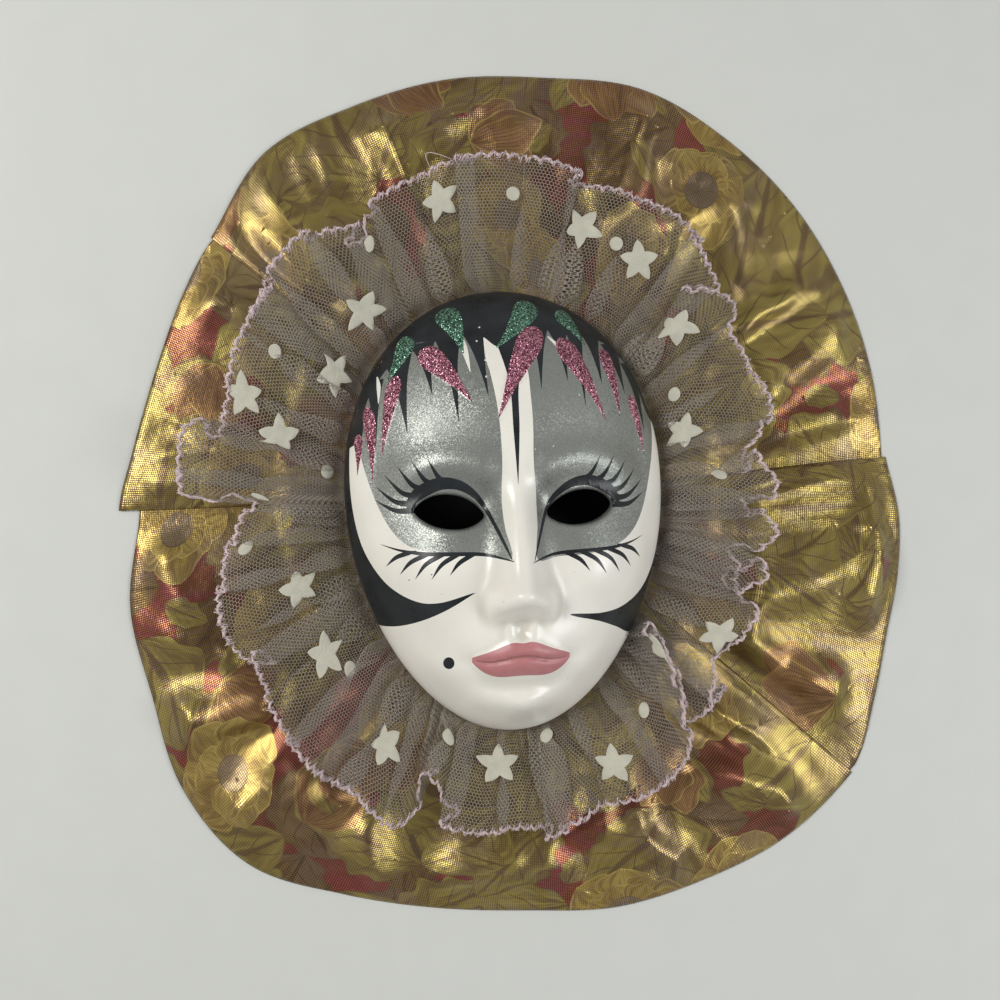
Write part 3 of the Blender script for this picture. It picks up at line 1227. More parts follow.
def ruffle_edge():
    """Outer edge of the net at even steps: distances along it, its length, points and directions."""
    stations = np.array(RUFFLE_EDGE, dtype=float)
    stations[:, 0] = np.degrees(np.unwrap(np.radians(stations[:, 0])))
    round_again = [360, 0, 0]
    around = np.vstack([stations[-2:] + round_again, stations, stations[:3] - round_again])
    dense = through(around, np.linspace(2, len(stations) + 2, 6000) / (len(around) - 1))
    angle = np.radians(dense[:, 0])
    edge = np.column_stack([*from_mask(angle, dense[:, 1]), dense[:, 2]])
    along = lengths_along(edge)
    total = along[-1]
    u = np.linspace(0, total, int(total / RUFFLE_STEP) + 1)[:-1]
    return u, total, sampled(edge, along, u), np.interp(u, along, angle)


def calm_round_marks(x, y):
    """1 on bare net, and less round the stars and dots, where the pleats are calmer."""
    calm = np.ones_like(x)
    for marks, square in ((STARS, STAR_CALM), (DOTS, DOT_CALM)):
        for direction, reach in marks:
            mark_x, mark_y = from_mask(math.radians(direction), reach)
            calm *= 1 - 0.8 * np.exp(-((x - mark_x) ** 2 + (y - mark_y) ** 2) / square)
    return calm


def between_pleats(u, total, found):
    """How far each place is from one pleat to the next, from 0 to 1."""
    middles = np.array([pleat[0] for pleat in found])
    ends = np.concatenate([[middles[-1] - total], middles, [middles[0] + total]])
    before = np.searchsorted(middles, u)
    return (u - ends[before]) / (ends[before + 1] - ends[before])


def ruffle_strip():
    """Grid of points over the gathered net, columns along the strip and rows from the rim outwards."""
    u, total, edge, angle = ruffle_edge()
    one_turn = u / total * 2 * math.pi
    slack = int(RUFFLE_SLACK / RUFFLE_STEP)
    rim_angle = evened(angle + one_turn, slack, 3 * slack) - one_turn
    rim_x, rim_y = beside_rim(rim_angle, -BAND_UNDER_RIM)
    share = np.linspace(0, 1, RUFFLE_ROWS)[None, :]
    x = rim_x[:, None] + (edge[:, 0] - rim_x)[:, None] * share
    y = rim_y[:, None] + (edge[:, 1] - rim_y)[:, None] * share
    climb = 1 - (1 - share) ** NET_CLIMB
    z = RUFFLE_BOTTOM + NET_GAP + NET_RISE * (edge[:, 2] - RUFFLE_BOTTOM)[:, None] * climb
    clear = smooth(*OPENS_FROM, share)
    loose = clear * calm_round_marks(x, y)
    found, fold = pleats(total), np.zeros_like(x)
    lean = np.sign(np.gradient(rim_angle))
    for middle, half, depth, side, reach in found:
        t = np.clip((u - middle) / half, -1, 1)
        wave = (-np.sin(math.pi * t) * np.cos(0.5 * math.pi * t) ** 2 / 0.65)[:, None] * loose
        run = 1 - smooth(0.7 * reach, reach + 0.35, share)
        slide = depth * wave * (0.3 + 0.7 * run)
        x -= slide * (np.sin(rim_angle) * lean)[:, None]
        y += slide * (np.cos(rim_angle) * lean)[:, None]
        fold += side * wave * (0.35 + 0.65 * run)
    z += PLEAT["height"] * (fold + PLEAT["lift"]) * clear * (1 - PLEAT["outer_loss"] * share)
    arch = np.sin(math.pi * between_pleats(u, total, found))
    z += BULGE * arch[:, None] * smooth(*BULGE_FROM, share)
    z += DRIFT * uneven(u / DRIFT_LENGTH, 42)[:, None] * smooth(*DRIFT_FROM, share)
    wrinkles = np.sin(2 * math.pi * (u + 4 * uneven(u / 20, 41)) / WRINKLE["pitch"])
    wrinkles = WRINKLE["height"] * (wrinkles * (1 + uneven(u / 9, 43)) + 1)
    z += wrinkles[:, None] * clear * (1 - share) ** WRINKLE["fade"]
    return np.dstack([x, y, z])


def net_cloth(strip, faces):
    """Corner coordinates in metres of cloth, how far the net is let out at each corner, and its flat size."""
    columns, rows = strip.shape[:2]
    spacing = np.linalg.norm(np.roll(strip, -1, axis=0) - strip, axis=2)
    step = spacing[:, rows // 2 :].mean(axis=1)
    along = np.concatenate([[0], np.cumsum(step)])
    across = np.linalg.norm(np.diff(strip, axis=1), axis=2)
    inward = np.concatenate([np.cumsum(across[:, ::-1], axis=1)[:, ::-1], np.zeros((columns, 1))], axis=1)
    column, row = faces // rows, faces % rows
    let_out = (spacing / step[:, None])[column, row]
    place = along[np.where(column < column[:, :1], columns, column)]
    cloth = np.dstack([place, inward[column, row]]) * MM
    return cloth, np.dstack([let_out, let_out]), (across.sum(axis=1).mean() * MM, along[-1] * MM)


def tube(path, outward, radius, sides):
    """Closed loop of tube: points and quads, from a path and a direction that points out of the cloth."""
    ahead = unit(np.roll(path, -1, axis=0) - np.roll(path, 1, axis=0))
    side = unit(outward - (outward * ahead).sum(axis=1)[:, None] * ahead)
    up = np.cross(ahead, side)
    turn = np.linspace(0, 2 * math.pi, sides, endpoint=False)[None, :, None]
    ring = side[:, None] * np.cos(turn) + up[:, None] * np.sin(turn)
    points = path[:, None] + ring * np.broadcast_to(radius, len(path))[:, None, None]
    return points.reshape(-1, 3), grid_quads(len(path), sides)


def edging(strip):
    """Overlocked edge: a scalloped rolled hem and the threads that whip round it."""
    edge = np.vstack([strip[:, -1], strip[:1, -1]])
    outward = unit(strip[:, -1] - strip[:, -3])
    along = lengths_along(edge)
    u = np.linspace(0, along[-1], int(along[-1] / 0.5), endpoint=False)
    path, out = sampled(edge, along, u), sampled(np.vstack([outward, outward[:1]]), along, u)
    scallop = np.abs(np.sin(math.pi * (u + 0.7 * uneven(u / 6, 52)) / SCALLOP)) ** 0.6
    scallop *= SCALLOP_DEPTH * (1 + 0.35 * uneven(u / 9, 53))
    hem_path = path + out * scallop[:, None]
    lump = 1 + 0.3 * np.sin(2 * math.pi * u / HEM_LUMP) + 0.35 * uneven(u / 1.3, 51)
    parts = [tube(hem_path, out, HEM_RADIUS * lump, 6)]
    for pitch, start, reach in WHIPPING:
        turn = 2 * math.pi * u / pitch + start
        swing = reach * np.sin(turn) * (1 + 0.4 * uneven(u / 2.1, 54)) - WHIP_INSET
        whip = hem_path + out * swing[:, None]
        whip[:, 2] += WHIP_HEIGHT * np.cos(turn)
        parts.append(tube(whip, out, WHIP_RADIUS, 4))
    return joined(parts)


def loose_thread():
    """Loop of thread that has come free from the edge at the top."""
    t = np.linspace(0, 2 * math.pi, 60, endpoint=False)
    x = 4.6 * np.sin(t) + 1.2 * np.sin(2 * t)
    y = 3.4 * np.cos(t) - 1.1 * np.sin(2 * t + 0.6)
    path = LOOP_PLACE + np.column_stack([x, y, 1.6 * np.cos(t + 0.5)])
    return tube(path, np.tile([0.0, 0.0, 1.0], (len(t), 1)), LOOP_RADIUS, 5)


def star_outline(radius, corners=5, count=80):
    """Star with soft arms, as points round its middle."""
    angle = np.linspace(0, 2 * math.pi, count, endpoint=False)
    fold = np.abs(((angle * corners / (2 * math.pi)) % 1) - 0.5) * 2
    reach = radius * (0.52 + 0.48 * fold**1.25)
    return np.column_stack([reach * np.cos(angle), reach * np.sin(angle)])


def on_strip(strip, column, row):
    """Points of the strip at fractional columns and rows."""
    columns, rows = strip.shape[:2]
    row = np.clip(row, 0, rows - 1.001)
    i, j = np.floor(column).astype(int), np.floor(row).astype(int)
    f, g = (column - i)[:, None], (row - j)[:, None]
    a, b = strip[i % columns, j], strip[(i + 1) % columns, j]
    c, d = strip[i % columns, j + 1], strip[(i + 1) % columns, j + 1]
    return (a * (1 - f) + b * f) * (1 - g) + (c * (1 - f) + d * f) * g


def flocked_mark(raw, strip, mark, outline, turn):
    """Thin raised mark that lies on the net at a place given by direction and distance."""
    x, y = from_mask(math.radians(mark[0]), mark[1])
    score = np.hypot(strip[..., 0] - x, strip[..., 1] - y) - MARK_UPWARD * strip[..., 2]
    column, row = np.unravel_index(np.argmin(score), score.shape)
    columns, rows = strip.shape[:2]
    row = min(max(row, 4), rows - 4)
    near = strip[(column + 2) % columns, row] - strip[column - 2, row]
    out = strip[column, row + 2] - strip[column, row - 2]
    per_column, per_row = np.linalg.norm(near) / 4, np.linalg.norm(out) / 4
    points, lift = [], 0.0
    for share, height in MARK_RINGS:
        flat = turned(outline * share, turn)
        i, j = column + flat[:, 0] / per_column, row + flat[:, 1] / per_row
        here = on_strip(strip, i, j)
        lift = max(lift, (on_strip(raw, i, j) - here)[:, 2].max())
        across = on_strip(strip, i + 0.5, j) - on_strip(strip, i - 0.5, j)
        up = on_strip(strip, i, j + 0.5) - on_strip(strip, i, j - 0.5)
        normal = np.cross(up, across)
        normal *= np.sign(normal[:, 2:] + 1e-9)
        points.append(here + unit(normal) * height)
    points = np.vstack(points) + [0, 0, min(lift, MARK_LIFT)]
    return points, grid_quads(len(MARK_RINGS), len(outline), open_columns=1)


def flocking(raw):
    """All stars and dots, laid on the net with its small gathers ironed out."""
    strip = evened(raw, 7.0, 20)
    draw = random.Random(9)
    shapes = ((STARS, star_outline(STAR_RADIUS)), (DOTS, oval(0, 0, DOT_RADIUS, DOT_RADIUS, 24)))
    return joined([flocked_mark(raw, strip, mark, outline, any_direction(draw))
                   for marks, outline in shapes for mark in marks])


# Materials


class Nodes:
    """Short way to fill a node tree: inputs are values or the sockets that feed them."""

    def __init__(self, tree):
        self.tree = tree

    def add(self, kind, inputs=None, **settings):
        node = self.tree.nodes.new(kind)
        for key, value in settings.items():
            setattr(node, key, value)
        for key, value in (inputs or {}).items():
            if isinstance(value, bpy.types.NodeSocket):
                self.tree.links.new(value, node.inputs[key])
            else:
                node.inputs[key].default_value = value
        return node

    def feed(self, inputs, sockets):
        """Links each socket to the input of its name."""
        for name, socket in sockets.items():
            self.tree.links.new(socket, inputs[name])

    def math(self, operation, a, b=0.0, clamp=False):
        return self.add("ShaderNodeMath", {0: a, 1: b}, operation=operation, use_clamp=clamp).outputs[0]

    def times(self, a, b):
        return self.math("MULTIPLY", a, b)

    def plus(self, a, b, clamp=False):
        return self.math("ADD", a, b, clamp)

    def minus(self, a, b):
        return self.math("SUBTRACT", a, b)

    def vector(self, operation, a, b=(0, 0, 0)):
        return self.add("ShaderNodeVectorMath", {0: a, 1: b}, operation=operation).outputs[0]

    def scaled(self, a, factor):
        return self.add("ShaderNodeVectorMath", {0: a, "Scale": factor}, operation="SCALE").outputs[0]

    def ramp(self, value, low, high, start=0.0, end=1.0):
        node = self.add("ShaderNodeMapRange", {0: value, 1: low, 2: high, 3: start, 4: end})
        return node.outputs[0]

    def mix(self, factor, a, b):
        """Colour between a and b."""
        inputs = {0: factor, 6: opaque(a), 7: opaque(b)}
        return self.add("ShaderNodeMix", inputs, data_type="RGBA").outputs[2]

    def noise(self, vector, scale, detail=3.0):
        return self.add("ShaderNodeTexNoise", {"Vector": vector, "Scale": scale, "Detail": detail}).outputs[0]

    def object_place(self):
        return self.add("ShaderNodeTexCoord").outputs["Object"]

    def bump(self, height, strength, distance):
        inputs = {"Height": height, "Strength": strength, "Distance": distance}
        return self.add("ShaderNodeBump", inputs).outputs[0]

    def axes(self, vector):
        return self.add("ShaderNodeSeparateXYZ", {0: vector}).outputs

    def uv(self, name):
        return self.add("ShaderNodeUVMap", uv_map=name).outputs[0]

    def shared(self, builder, **values):
        """Outputs of a shared node group; underscores in the names of its inputs stand for spaces."""
        if builder not in SHARED_GROUPS:
            SHARED_GROUPS[builder] = builder()
        inputs = {key.replace("_", " "): value for key, value in values.items()}
        return self.add("ShaderNodeGroup", inputs, node_tree=SHARED_GROUPS[builder]).outputs


SHARED_GROUPS = {}


def opaque(colour):
    """Colour with its fourth value, if it's given as three values and not as a socket."""
    return (*colour, 1.0) if isinstance(colour, tuple) else colour


def shade(colour, factor):
    return tuple(min(c * factor, 1.0) for c in colour)


def ink(red, green, blue):
    """Linear colour of a printed shade given on the usual scale to 255."""
    return tuple((c / 255) ** 2.2 for c in (red, green, blue))


def group_tree(name, inputs, outputs):
    tree = bpy.data.node_groups.new(name, "ShaderNodeTree")
    for label, kind, default in inputs:
        socket = tree.interface.new_socket(label, in_out="INPUT", socket_type=kind)
        socket.default_value = default
    for label, kind in outputs:
        tree.interface.new_socket(label, in_out="OUTPUT", socket_type=kind)
    nodes = Nodes(tree)
    return nodes, nodes.add("NodeGroupInput").outputs, nodes.add("NodeGroupOutput").inputs


def mottle_group():
    """Cloudy variation of a hand-finished surface, from 0 to 1, and a fine grain."""
    nodes, given, out = group_tree(
        "Mottle",
        [("Size", "NodeSocketFloat", 90.0), ("Contrast", "NodeSocketFloat", 1.0)],
        [("Cloud", "NodeSocketFloat"), ("Grain", "NodeSocketFloat")])
    place = nodes.object_place()
    cloud = nodes.noise(place, given["Size"], 4.0)
    spread = nodes.times(nodes.minus(cloud, 0.5), given["Contrast"])
    nodes.feed(out, {"Cloud": nodes.plus(spread, 0.5, clamp=True),
                     "Grain": nodes.noise(place, 1400.0, 2.0)})
    return nodes.tree


def glitter_group():
    """Loose flakes that each face their own way: a tone from 0 to 1 and a tilted normal."""
    nodes, given, out = group_tree(
        "Glitter flakes",
        [("Flakes per metre", "NodeSocketFloat", 1900.0), ("Tilt", "NodeSocketFloat", 1.3)],
        [("Tone", "NodeSocketFloat"), ("Normal", "NodeSocketVector")])
    cells = nodes.add("ShaderNodeTexVoronoi",
                      {"Vector": nodes.object_place(), "Scale": given["Flakes per metre"]})
    flake = cells.outputs["Color"]
    tilted = nodes.scaled(nodes.vector("SUBTRACT", flake, (0.5, 0.5, 0.5)), given["Tilt"])
    facing = nodes.add("ShaderNodeNewGeometry").outputs["Normal"]
    nodes.feed(out, {"Tone": nodes.add("ShaderNodeSeparateColor", {0: flake}).outputs[2],
                     "Normal": nodes.vector("NORMALIZE", nodes.vector("ADD", facing, tilted))})
    return nodes.tree


def new_material(name, base, roughness, metallic=0.0):
    """Material with one Principled shader: returns it with its node helper and the shader."""
    material = bpy.data.materials.new(name)
    material.use_nodes = True
    material.diffuse_color = opaque(tuple(base))
    nodes = Nodes(material.node_tree)
    shader = material.node_tree.nodes["Principled BSDF"]
    shader.inputs["Base Color"].default_value = opaque(tuple(base))
    shader.inputs["Roughness"].default_value = roughness
    shader.inputs["Metallic"].default_value = metallic
    return material, nodes, shader


def clouded_material(name, base, roughness, size, contrast, dark, light, grain=None):
    """Material whose colour drifts between dark and light times its base, with a grain if given."""
    material, nodes, shader = new_material(name, base, roughness)
    mottle = nodes.shared(mottle_group, Size=size, Contrast=contrast)
    colour = nodes.mix(mottle["Cloud"], shade(base, dark), shade(base, light))
    nodes.feed(shader.inputs, {"Base Color": colour})
    if grain:
        nodes.feed(shader.inputs, {"Normal": nodes.bump(mottle["Grain"], *grain)})
    return material, nodes, shader, mottle["Cloud"]


def glaze_material(colours):
    """Warm white glaze with faint clouds, dirt in the hollows and fine pinholes."""
    base = colours.glaze
    material, nodes, shader = new_material("White glaze", base, roughness=0.34)
    mottle = nodes.shared(mottle_group, Size=55.0, Contrast=1.5)
    hollow = nodes.add("ShaderNodeNewGeometry").outputs["Pointiness"]
    dirt = nodes.times(nodes.ramp(hollow, 0.50, 0.475), 0.45)
    tint = nodes.mix(mottle["Cloud"], shade(base, 0.9), shade(base, 1.04))
    dusty = nodes.mix(dirt, tint, (0.42, 0.39, 0.31))
    specks = nodes.add("ShaderNodeTexVoronoi", {"Vector": nodes.object_place(), "Scale": 160.0})
    pinhole = nodes.times(nodes.ramp(specks.outputs["Distance"], 0.05, 0.035), 0.35)
    nodes.feed(shader.inputs, {"Base Color": nodes.mix(pinhole, dusty, (0.25, 0.22, 0.18)),
                               "Roughness": nodes.ramp(mottle["Cloud"], 0.2, 0.8, 0.28, 0.42),
                               "Normal": nodes.bump(mottle["Grain"], 0.12, 0.0004)})
    shader.inputs["Subsurface Weight"].default_value = 0.06
    shader.inputs["Subsurface Radius"].default_value = (0.004, 0.003, 0.002)
    shader.inputs["Coat Weight"].default_value = 0.25
    shader.inputs["Coat Roughness"].default_value = 0.2
    return material


def black_material(colours):
    material, nodes, shader, cloud = clouded_material(
        "Black enamel", colours.black, roughness=0.32, size=120.0, contrast=1.6,
        dark=0.7, light=2.0, grain=(0.15, 0.0003))
    shader.inputs["Specular IOR Level"].default_value = 0.28
    nodes.feed(shader.inputs, {"Roughness": nodes.ramp(cloud, 0.2, 0.8, 0.24, 0.38)})
    return material


def silver_material(colours):
    """Brushed-on silver paint: faint clouds and a fine sparkle of metal flakes."""
    base = colours.silver
    material, nodes, shader = new_material("Silver paint", base, roughness=0.45, metallic=0.6)
    cloud = nodes.shared(mottle_group, Size=55.0, Contrast=1.6)["Cloud"]
    flakes = nodes.shared(glitter_group, Flakes_per_metre=3600.0, Tilt=0.3)
    tone = nodes.plus(nodes.times(cloud, 0.55), nodes.times(flakes["Tone"], 0.45))
    nodes.feed(shader.inputs, {"Base Color": nodes.mix(tone, shade(base, 0.78), shade(base, 1.25)),
                               "Roughness": nodes.ramp(cloud, 0.25, 0.75, 0.46, 0.38),
                               "Metallic": nodes.ramp(cloud, 0.25, 0.75, 0.6, 0.82),
                               "Normal": flakes["Normal"]})
    return material


def glitter_material(name, base, spark):
    """Flakes of metallic glitter, from a dark tone of the base colour to the bright spark colour."""
    material, nodes, shader = new_material(name, base, roughness=0.38, metallic=0.8)
    flakes = nodes.shared(glitter_group, Flakes_per_metre=3200.0, Tilt=1.2)
    colour = nodes.mix(nodes.ramp(flakes["Tone"], 0.4, 0.95), shade(base, 0.45), spark)
    nodes.feed(shader.inputs, {"Base Color": colour, "Normal": flakes["Normal"]})
    return material


def lip_material(name, base):
    return clouded_material(name, base, roughness=0.42, size=300.0, contrast=1.2,
                            dark=0.86, light=1.12, grain=(0.15, 0.0003))[0]


def card_material(colours):
    return clouded_material("Black card", colours.card, roughness=0.85, size=200.0, contrast=1.5,
                            dark=0.6, light=1.6, grain=(0.4, 0.0003))[0]


def flock_material(colours):
    return clouded_material("Cream flock", colours.flock, roughness=0.9, size=240.0, contrast=1.6,
                            dark=0.84, light=1.1, grain=(0.5, 0.0005))[0]


def thread_material(colours):
    material, nodes, shader, cloud = clouded_material(
        "Overlock thread", colours.edging, roughness=0.75, size=700.0, contrast=2.0, dark=0.72, light=1.2)
    nodes.feed(shader.inputs, {"Normal": nodes.bump(cloud, 0.6, 0.0005)})
    return material


def metal_weave_group():
    """Flat metal threads in a fine diagonal weave: how much a thread shows, and a crinkle's height."""
    nodes, given, out = group_tree(
        "Metal weave",
        [("Cloth", "NodeSocketVector", (0, 0, 0)), ("Pitch", "NodeSocketFloat", 0.00104)],
        [("Thread", "NodeSocketFloat"), ("Crinkle", "NodeSocketFloat")])
    axes = nodes.axes(given["Cloth"])
    waves = []
    for operation in ("ADD", "SUBTRACT"):
        slant = nodes.math("DIVIDE", nodes.math(operation, axes[0], axes[1]), given["Pitch"])
        waves.append(nodes.math("SINE", nodes.times(slant, 2 * math.pi * 0.7071)))
    nodes.feed(out, {"Thread": nodes.plus(nodes.times(nodes.times(*waves), 0.5), 0.5),
                     "Crinkle": nodes.noise(nodes.object_place(), 260.0, 5.0)})
    return nodes.tree


def veins(nodes, a, b):
    """Middle vein and slanting side veins of a leaf, 1 on a vein."""
    side = nodes.math("ABSOLUTE", b)
    wobble = nodes.times(nodes.minus(nodes.noise(nodes.object_place(), 90.0), 0.5), 0.25)
    middle = nodes.ramp(nodes.plus(side, wobble), 0.11, 0.05)
    slant = nodes.minus(nodes.times(a, 4.6), nodes.times(side, 1.5))
    saw = nodes.math("PINGPONG", nodes.plus(slant, wobble), 0.5)
    branch = nodes.times(nodes.ramp(saw, 0.055, 0.02), nodes.ramp(side, 0.95, 0.6))
    return nodes.math("MAXIMUM", middle, branch)


def rays(count):
    """Drawing of fine lines that run out from the base of a petal, 1 on a line."""

    def drawing(nodes, a, b):
        wobble = nodes.times(nodes.noise(nodes.object_place(), 120.0), 0.7)
        saw = nodes.math("PINGPONG", nodes.plus(nodes.times(b, count), wobble), 0.5)
        return nodes.times(nodes.ramp(saw, 0.2, 0.05), nodes.ramp(a, 0.95, 0.35))

    return drawing


def brush_strokes(nodes, a, b, tone):
    """Painted streaks that follow a petal or leaf from its base to its tip."""
    stretched = {0: nodes.times(a, 2.6), 1: nodes.times(b, 4.5), 2: nodes.times(tone, 40.0)}
    place = nodes.add("ShaderNodeCombineXYZ", stretched).outputs[0]
    return nodes.ramp(nodes.noise(place, 1.0, 4.0), 0.34, 0.66)


def lame_material(name, dark, light, line, drawing=None, shadow=0.0, rim_light=None):
    """Printed gold fabric: one kind of motif with its drawn lines, weave and metal shine."""
    material, nodes, shader = new_material(name, light, roughness=0.36, metallic=0.85)
    a, b, _ = nodes.axes(nodes.uv("petal"))
    edge, tone, _ = nodes.axes(nodes.uv("edge"))
    cloud = nodes.shared(mottle_group, Size=75.0, Contrast=2.4)["Cloud"]
    strokes = brush_strokes(nodes, a, b, tone)
    blend = nodes.plus(nodes.times(tone, 0.3), nodes.times(strokes, 0.45))
    blend = nodes.plus(blend, nodes.times(cloud, 0.3), clamp=True)
    colour = nodes.mix(blend, dark, tuple(light))
    if shadow:
        near_base = nodes.times(nodes.ramp(a, 0.5, 0.05), shadow)
        far_half = nodes.times(nodes.ramp(b, 0.1, -0.5), 0.45)
        shaded = nodes.math("MAXIMUM", near_base, far_half)
        shaded = nodes.times(shaded, nodes.ramp(strokes, 0.75, 0.3))
        colour = nodes.mix(shaded, colour, line)
    haze = nodes.ramp(nodes.noise(nodes.object_place(), 42.0), 0.5, 0.62, 0.0, 0.5)
    haze = nodes.times(haze, 1.0 if shadow else 0.3)
    colour = nodes.mix(haze, colour, ink(118, 98, 92))
    if drawing:
        colour = nodes.mix(nodes.times(drawing(nodes, a, b), 0.8), colour, line)
    rim = nodes.times(nodes.ramp(edge, 0.8, 0.15), nodes.ramp(cloud, 0.35, 0.7, 0.1, 0.6))
    colour = nodes.mix(rim, colour, rim_light or line)
    weave = nodes.shared(metal_weave_group, Cloth=nodes.uv("cloth"))
    thread = weave["Thread"]
    colour = nodes.mix(nodes.ramp(thread, 0.15, 0.5, 0.5, 0.0), colour, line)
    glint = nodes.times(nodes.ramp(thread, 0.45, 0.95), 0.35)
    height = nodes.plus(nodes.times(thread, 0.12), nodes.times(weave["Crinkle"], 0.6))
    nodes.feed(shader.inputs, {"Base Color": nodes.mix(glint, colour, ink(232, 206, 112)),
                               "Metallic": nodes.ramp(thread, 0.25, 0.75, 0.35, 0.95),
                               "Roughness": nodes.ramp(thread, 0.1, 0.9, 0.44, 0.28),
                               "Normal": nodes.bump(height, 0.4, 0.001)})
    return material


def collar_materials(colours):
    """Materials of the print, in the order of PRINT_KINDS."""
    vein, gold_line = ink(78, 56, 54), ink(206, 182, 108)
    petal, petal_line, bud_line = ink(182, 160, 88), ink(94, 64, 54), ink(80, 44, 46)
    return [
        lame_material("Crimson ground", ink(84, 20, 34), colours.ground, ink(60, 25, 30)),
        lame_material("Printed leaf", ink(96, 76, 46), colours.leaf, vein, veins, shadow=0.7),
        lame_material("Printed petal", ink(118, 90, 54), petal, petal_line, rays(3.0),
                      shadow=0.9, rim_light=gold_line),
        lame_material("Printed bud", ink(98, 60, 52), ink(160, 122, 82), bud_line, rays(6.0),
                      shadow=0.6, rim_light=gold_line),
        lame_material("Flower eye", ink(94, 78, 74), ink(138, 118, 96), ink(66, 52, 54), rays(9.0)),
        lame_material("Shadow leaf", ink(70, 48, 42), ink(120, 92, 66), ink(60, 40, 40), veins, shadow=0.5),
    ]


def net_group():
    """Round-holed net: 1 on the thread and 0 in a hole."""
    nodes, given, out = group_tree(
        "Net",
        [("Cloth", "NodeSocketVector", (0, 0, 0)), ("Pitch", "NodeSocketFloat", 0.0013),
         ("Hole", "NodeSocketFloat", 0.415)],
        [("Thread", "NodeSocketFloat")])
    scaled = nodes.scaled(given["Cloth"], nodes.math("DIVIDE", 1.0, given["Pitch"]))
    squeezed = nodes.vector("MULTIPLY", scaled, (1.0, 1 / math.sqrt(3), 0.0))
    distances = []
    for shift in (0.0, 0.5):
        cell = nodes.vector("FRACTION", nodes.vector("ADD", squeezed, (shift, shift, 0.0)))
        centred = nodes.vector("SUBTRACT", cell, (0.5, 0.5, 0.0))
        real = nodes.vector("MULTIPLY", centred, (1.0, math.sqrt(3), 0.0))
        length = nodes.add("ShaderNodeVectorMath", {0: real}, operation="LENGTH").outputs["Value"]
        distances.append(length)
    beyond = nodes.minus(nodes.math("MINIMUM", *distances), given["Hole"])
    nodes.feed(out, {"Thread": nodes.ramp(beyond, 0.0, 0.04)})
    return nodes.tree


def net_material(colours):
    """Net whose holes close up where it is gathered."""
    material, nodes, shader, _ = clouded_material(
        "Star net", colours.net, roughness=0.7, size=60.0, contrast=1.4, dark=0.8, light=1.15)
    let_out = nodes.axes(nodes.uv("gather"))[0]
    hole = nodes.ramp(let_out, 0.2, 0.75, 0.18, 0.432)
    net = nodes.shared(net_group, Cloth=nodes.uv("cloth"), Hole=hole)
    nodes.feed(shader.inputs, {"Alpha": net["Thread"]})
    return material


# Settings that a user would change


def colour_setting(name, description, default):
    return FloatVectorProperty(name=name, description=description, default=default,
                               subtype="COLOR", size=3, min=0, max=1)


class MaskColours(bpy.types.PropertyGroup):
    glaze: colour_setting("Glaze", "Bare white glaze", (0.80, 0.775, 0.70))
    black: colour_setting("Black", "Black enamel", (0.012, 0.014, 0.016))
    silver: colour_setting("Silver", "Silver paint", (0.285, 0.298, 0.275))
    pink: colour_setting("Pink glitter", "Glitter in the pink drops", (0.34, 0.065, 0.12))
    green: colour_setting("Green glitter", "Glitter in the green drops", (0.03, 0.17, 0.09))
    lip: colour_setting("Lips", "Lip paint", (0.46, 0.18, 0.185))
    leaf: colour_setting("Leaves", "Printed leaves of the collar", (0.365, 0.30, 0.08))
    ground: colour_setting("Ground", "Ground of the collar's print", (0.28, 0.026, 0.06))
    net: colour_setting("Net", "Thread of the net", (0.262, 0.230, 0.192))
    edging: colour_setting("Edging", "Overlock thread", (0.62, 0.50, 0.50))
    flock: colour_setting("Flock", "Stars and dots", (0.49, 0.475, 0.39))
    card: colour_setting("Card", "Backing card", (0.010, 0.010, 0.012))


class StageSettings(bpy.types.PropertyGroup):
    distance: FloatProperty(name="Camera distance", description="Camera to the middle of the face",
                            default=0.46, unit="LENGTH", min=0.1)
    yaw: FloatProperty(name="Camera yaw", description="Turn of the camera to the viewer's left",
                       default=math.radians(7), subtype="ANGLE")
    lens: FloatProperty(name="Lens", description="Focal length on a 36 mm sensor", default=44.5, min=10)
    aim: FloatVectorProperty(name="Aim", description="Point at the middle of the picture", size=3,
                             default=(-0.0102, -0.00197, 0.006), unit="LENGTH")
    floor: colour_setting("Floor", "Floor colour", (0.58, 0.59, 0.56))


# Stage: each lamp has a name, a place in metres, a size, a power and a colour
LAMPS = (
    ("Window", (-0.72, 0.2, 0.74), 0.34, 6.4, (1.0, 0.99, 0.96)),
    ("Fill", (0.74, -0.18, 0.66), 0.5, 4.6, (0.97, 0.98, 1.0)),
)
LAMP_AIM = (0, 0, 0.02)
FLOOR_REACH, FLOOR_Z = 3.0, -0.0002
# Glows of the room: direction, where each begins as a cosine, and its strength in the middle
ROOM_GLOWS = (
    ((-0.8, -0.12, 0.59), 0.62, 0.32),
    ((0.5, 0.58, 0.64), 0.78, 0.4),
    ((0.16, -0.74, 0.65), 0.84, 0.42),
)
ROOM_STRENGTH = 0.86
SENSOR_WIDTH = 36.0

# Operators


class MASK_OT_face(bpy.types.Operator):
    """Build the painted ceramic face over its plain solid"""

    bl_idname = "wall_mask.face"
    bl_label = "Ceramic face"

    def execute(self, context):
        colours = context.scene.wall_mask_colours
        points, faces, paint = face_mesh(paint_layers())
        materials = [
            glaze_material(colours),
            silver_material(colours),
            black_material(colours),
            glitter_material("Green glitter", colours.green, (0.30, 0.52, 0.40)),
            glitter_material("Pink glitter", colours.pink, (0.76, 0.37, 0.47)),
            lip_material("Lip pink", colours.lip),
            lip_material("Lip parting", shade(colours.lip, 0.62)),
        ]
        piece = new_piece("painted_face", "painted_ceramic", to_frame(points), faces, materials, paint)
        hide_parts("face_mask")
        return {"FINISHED"}


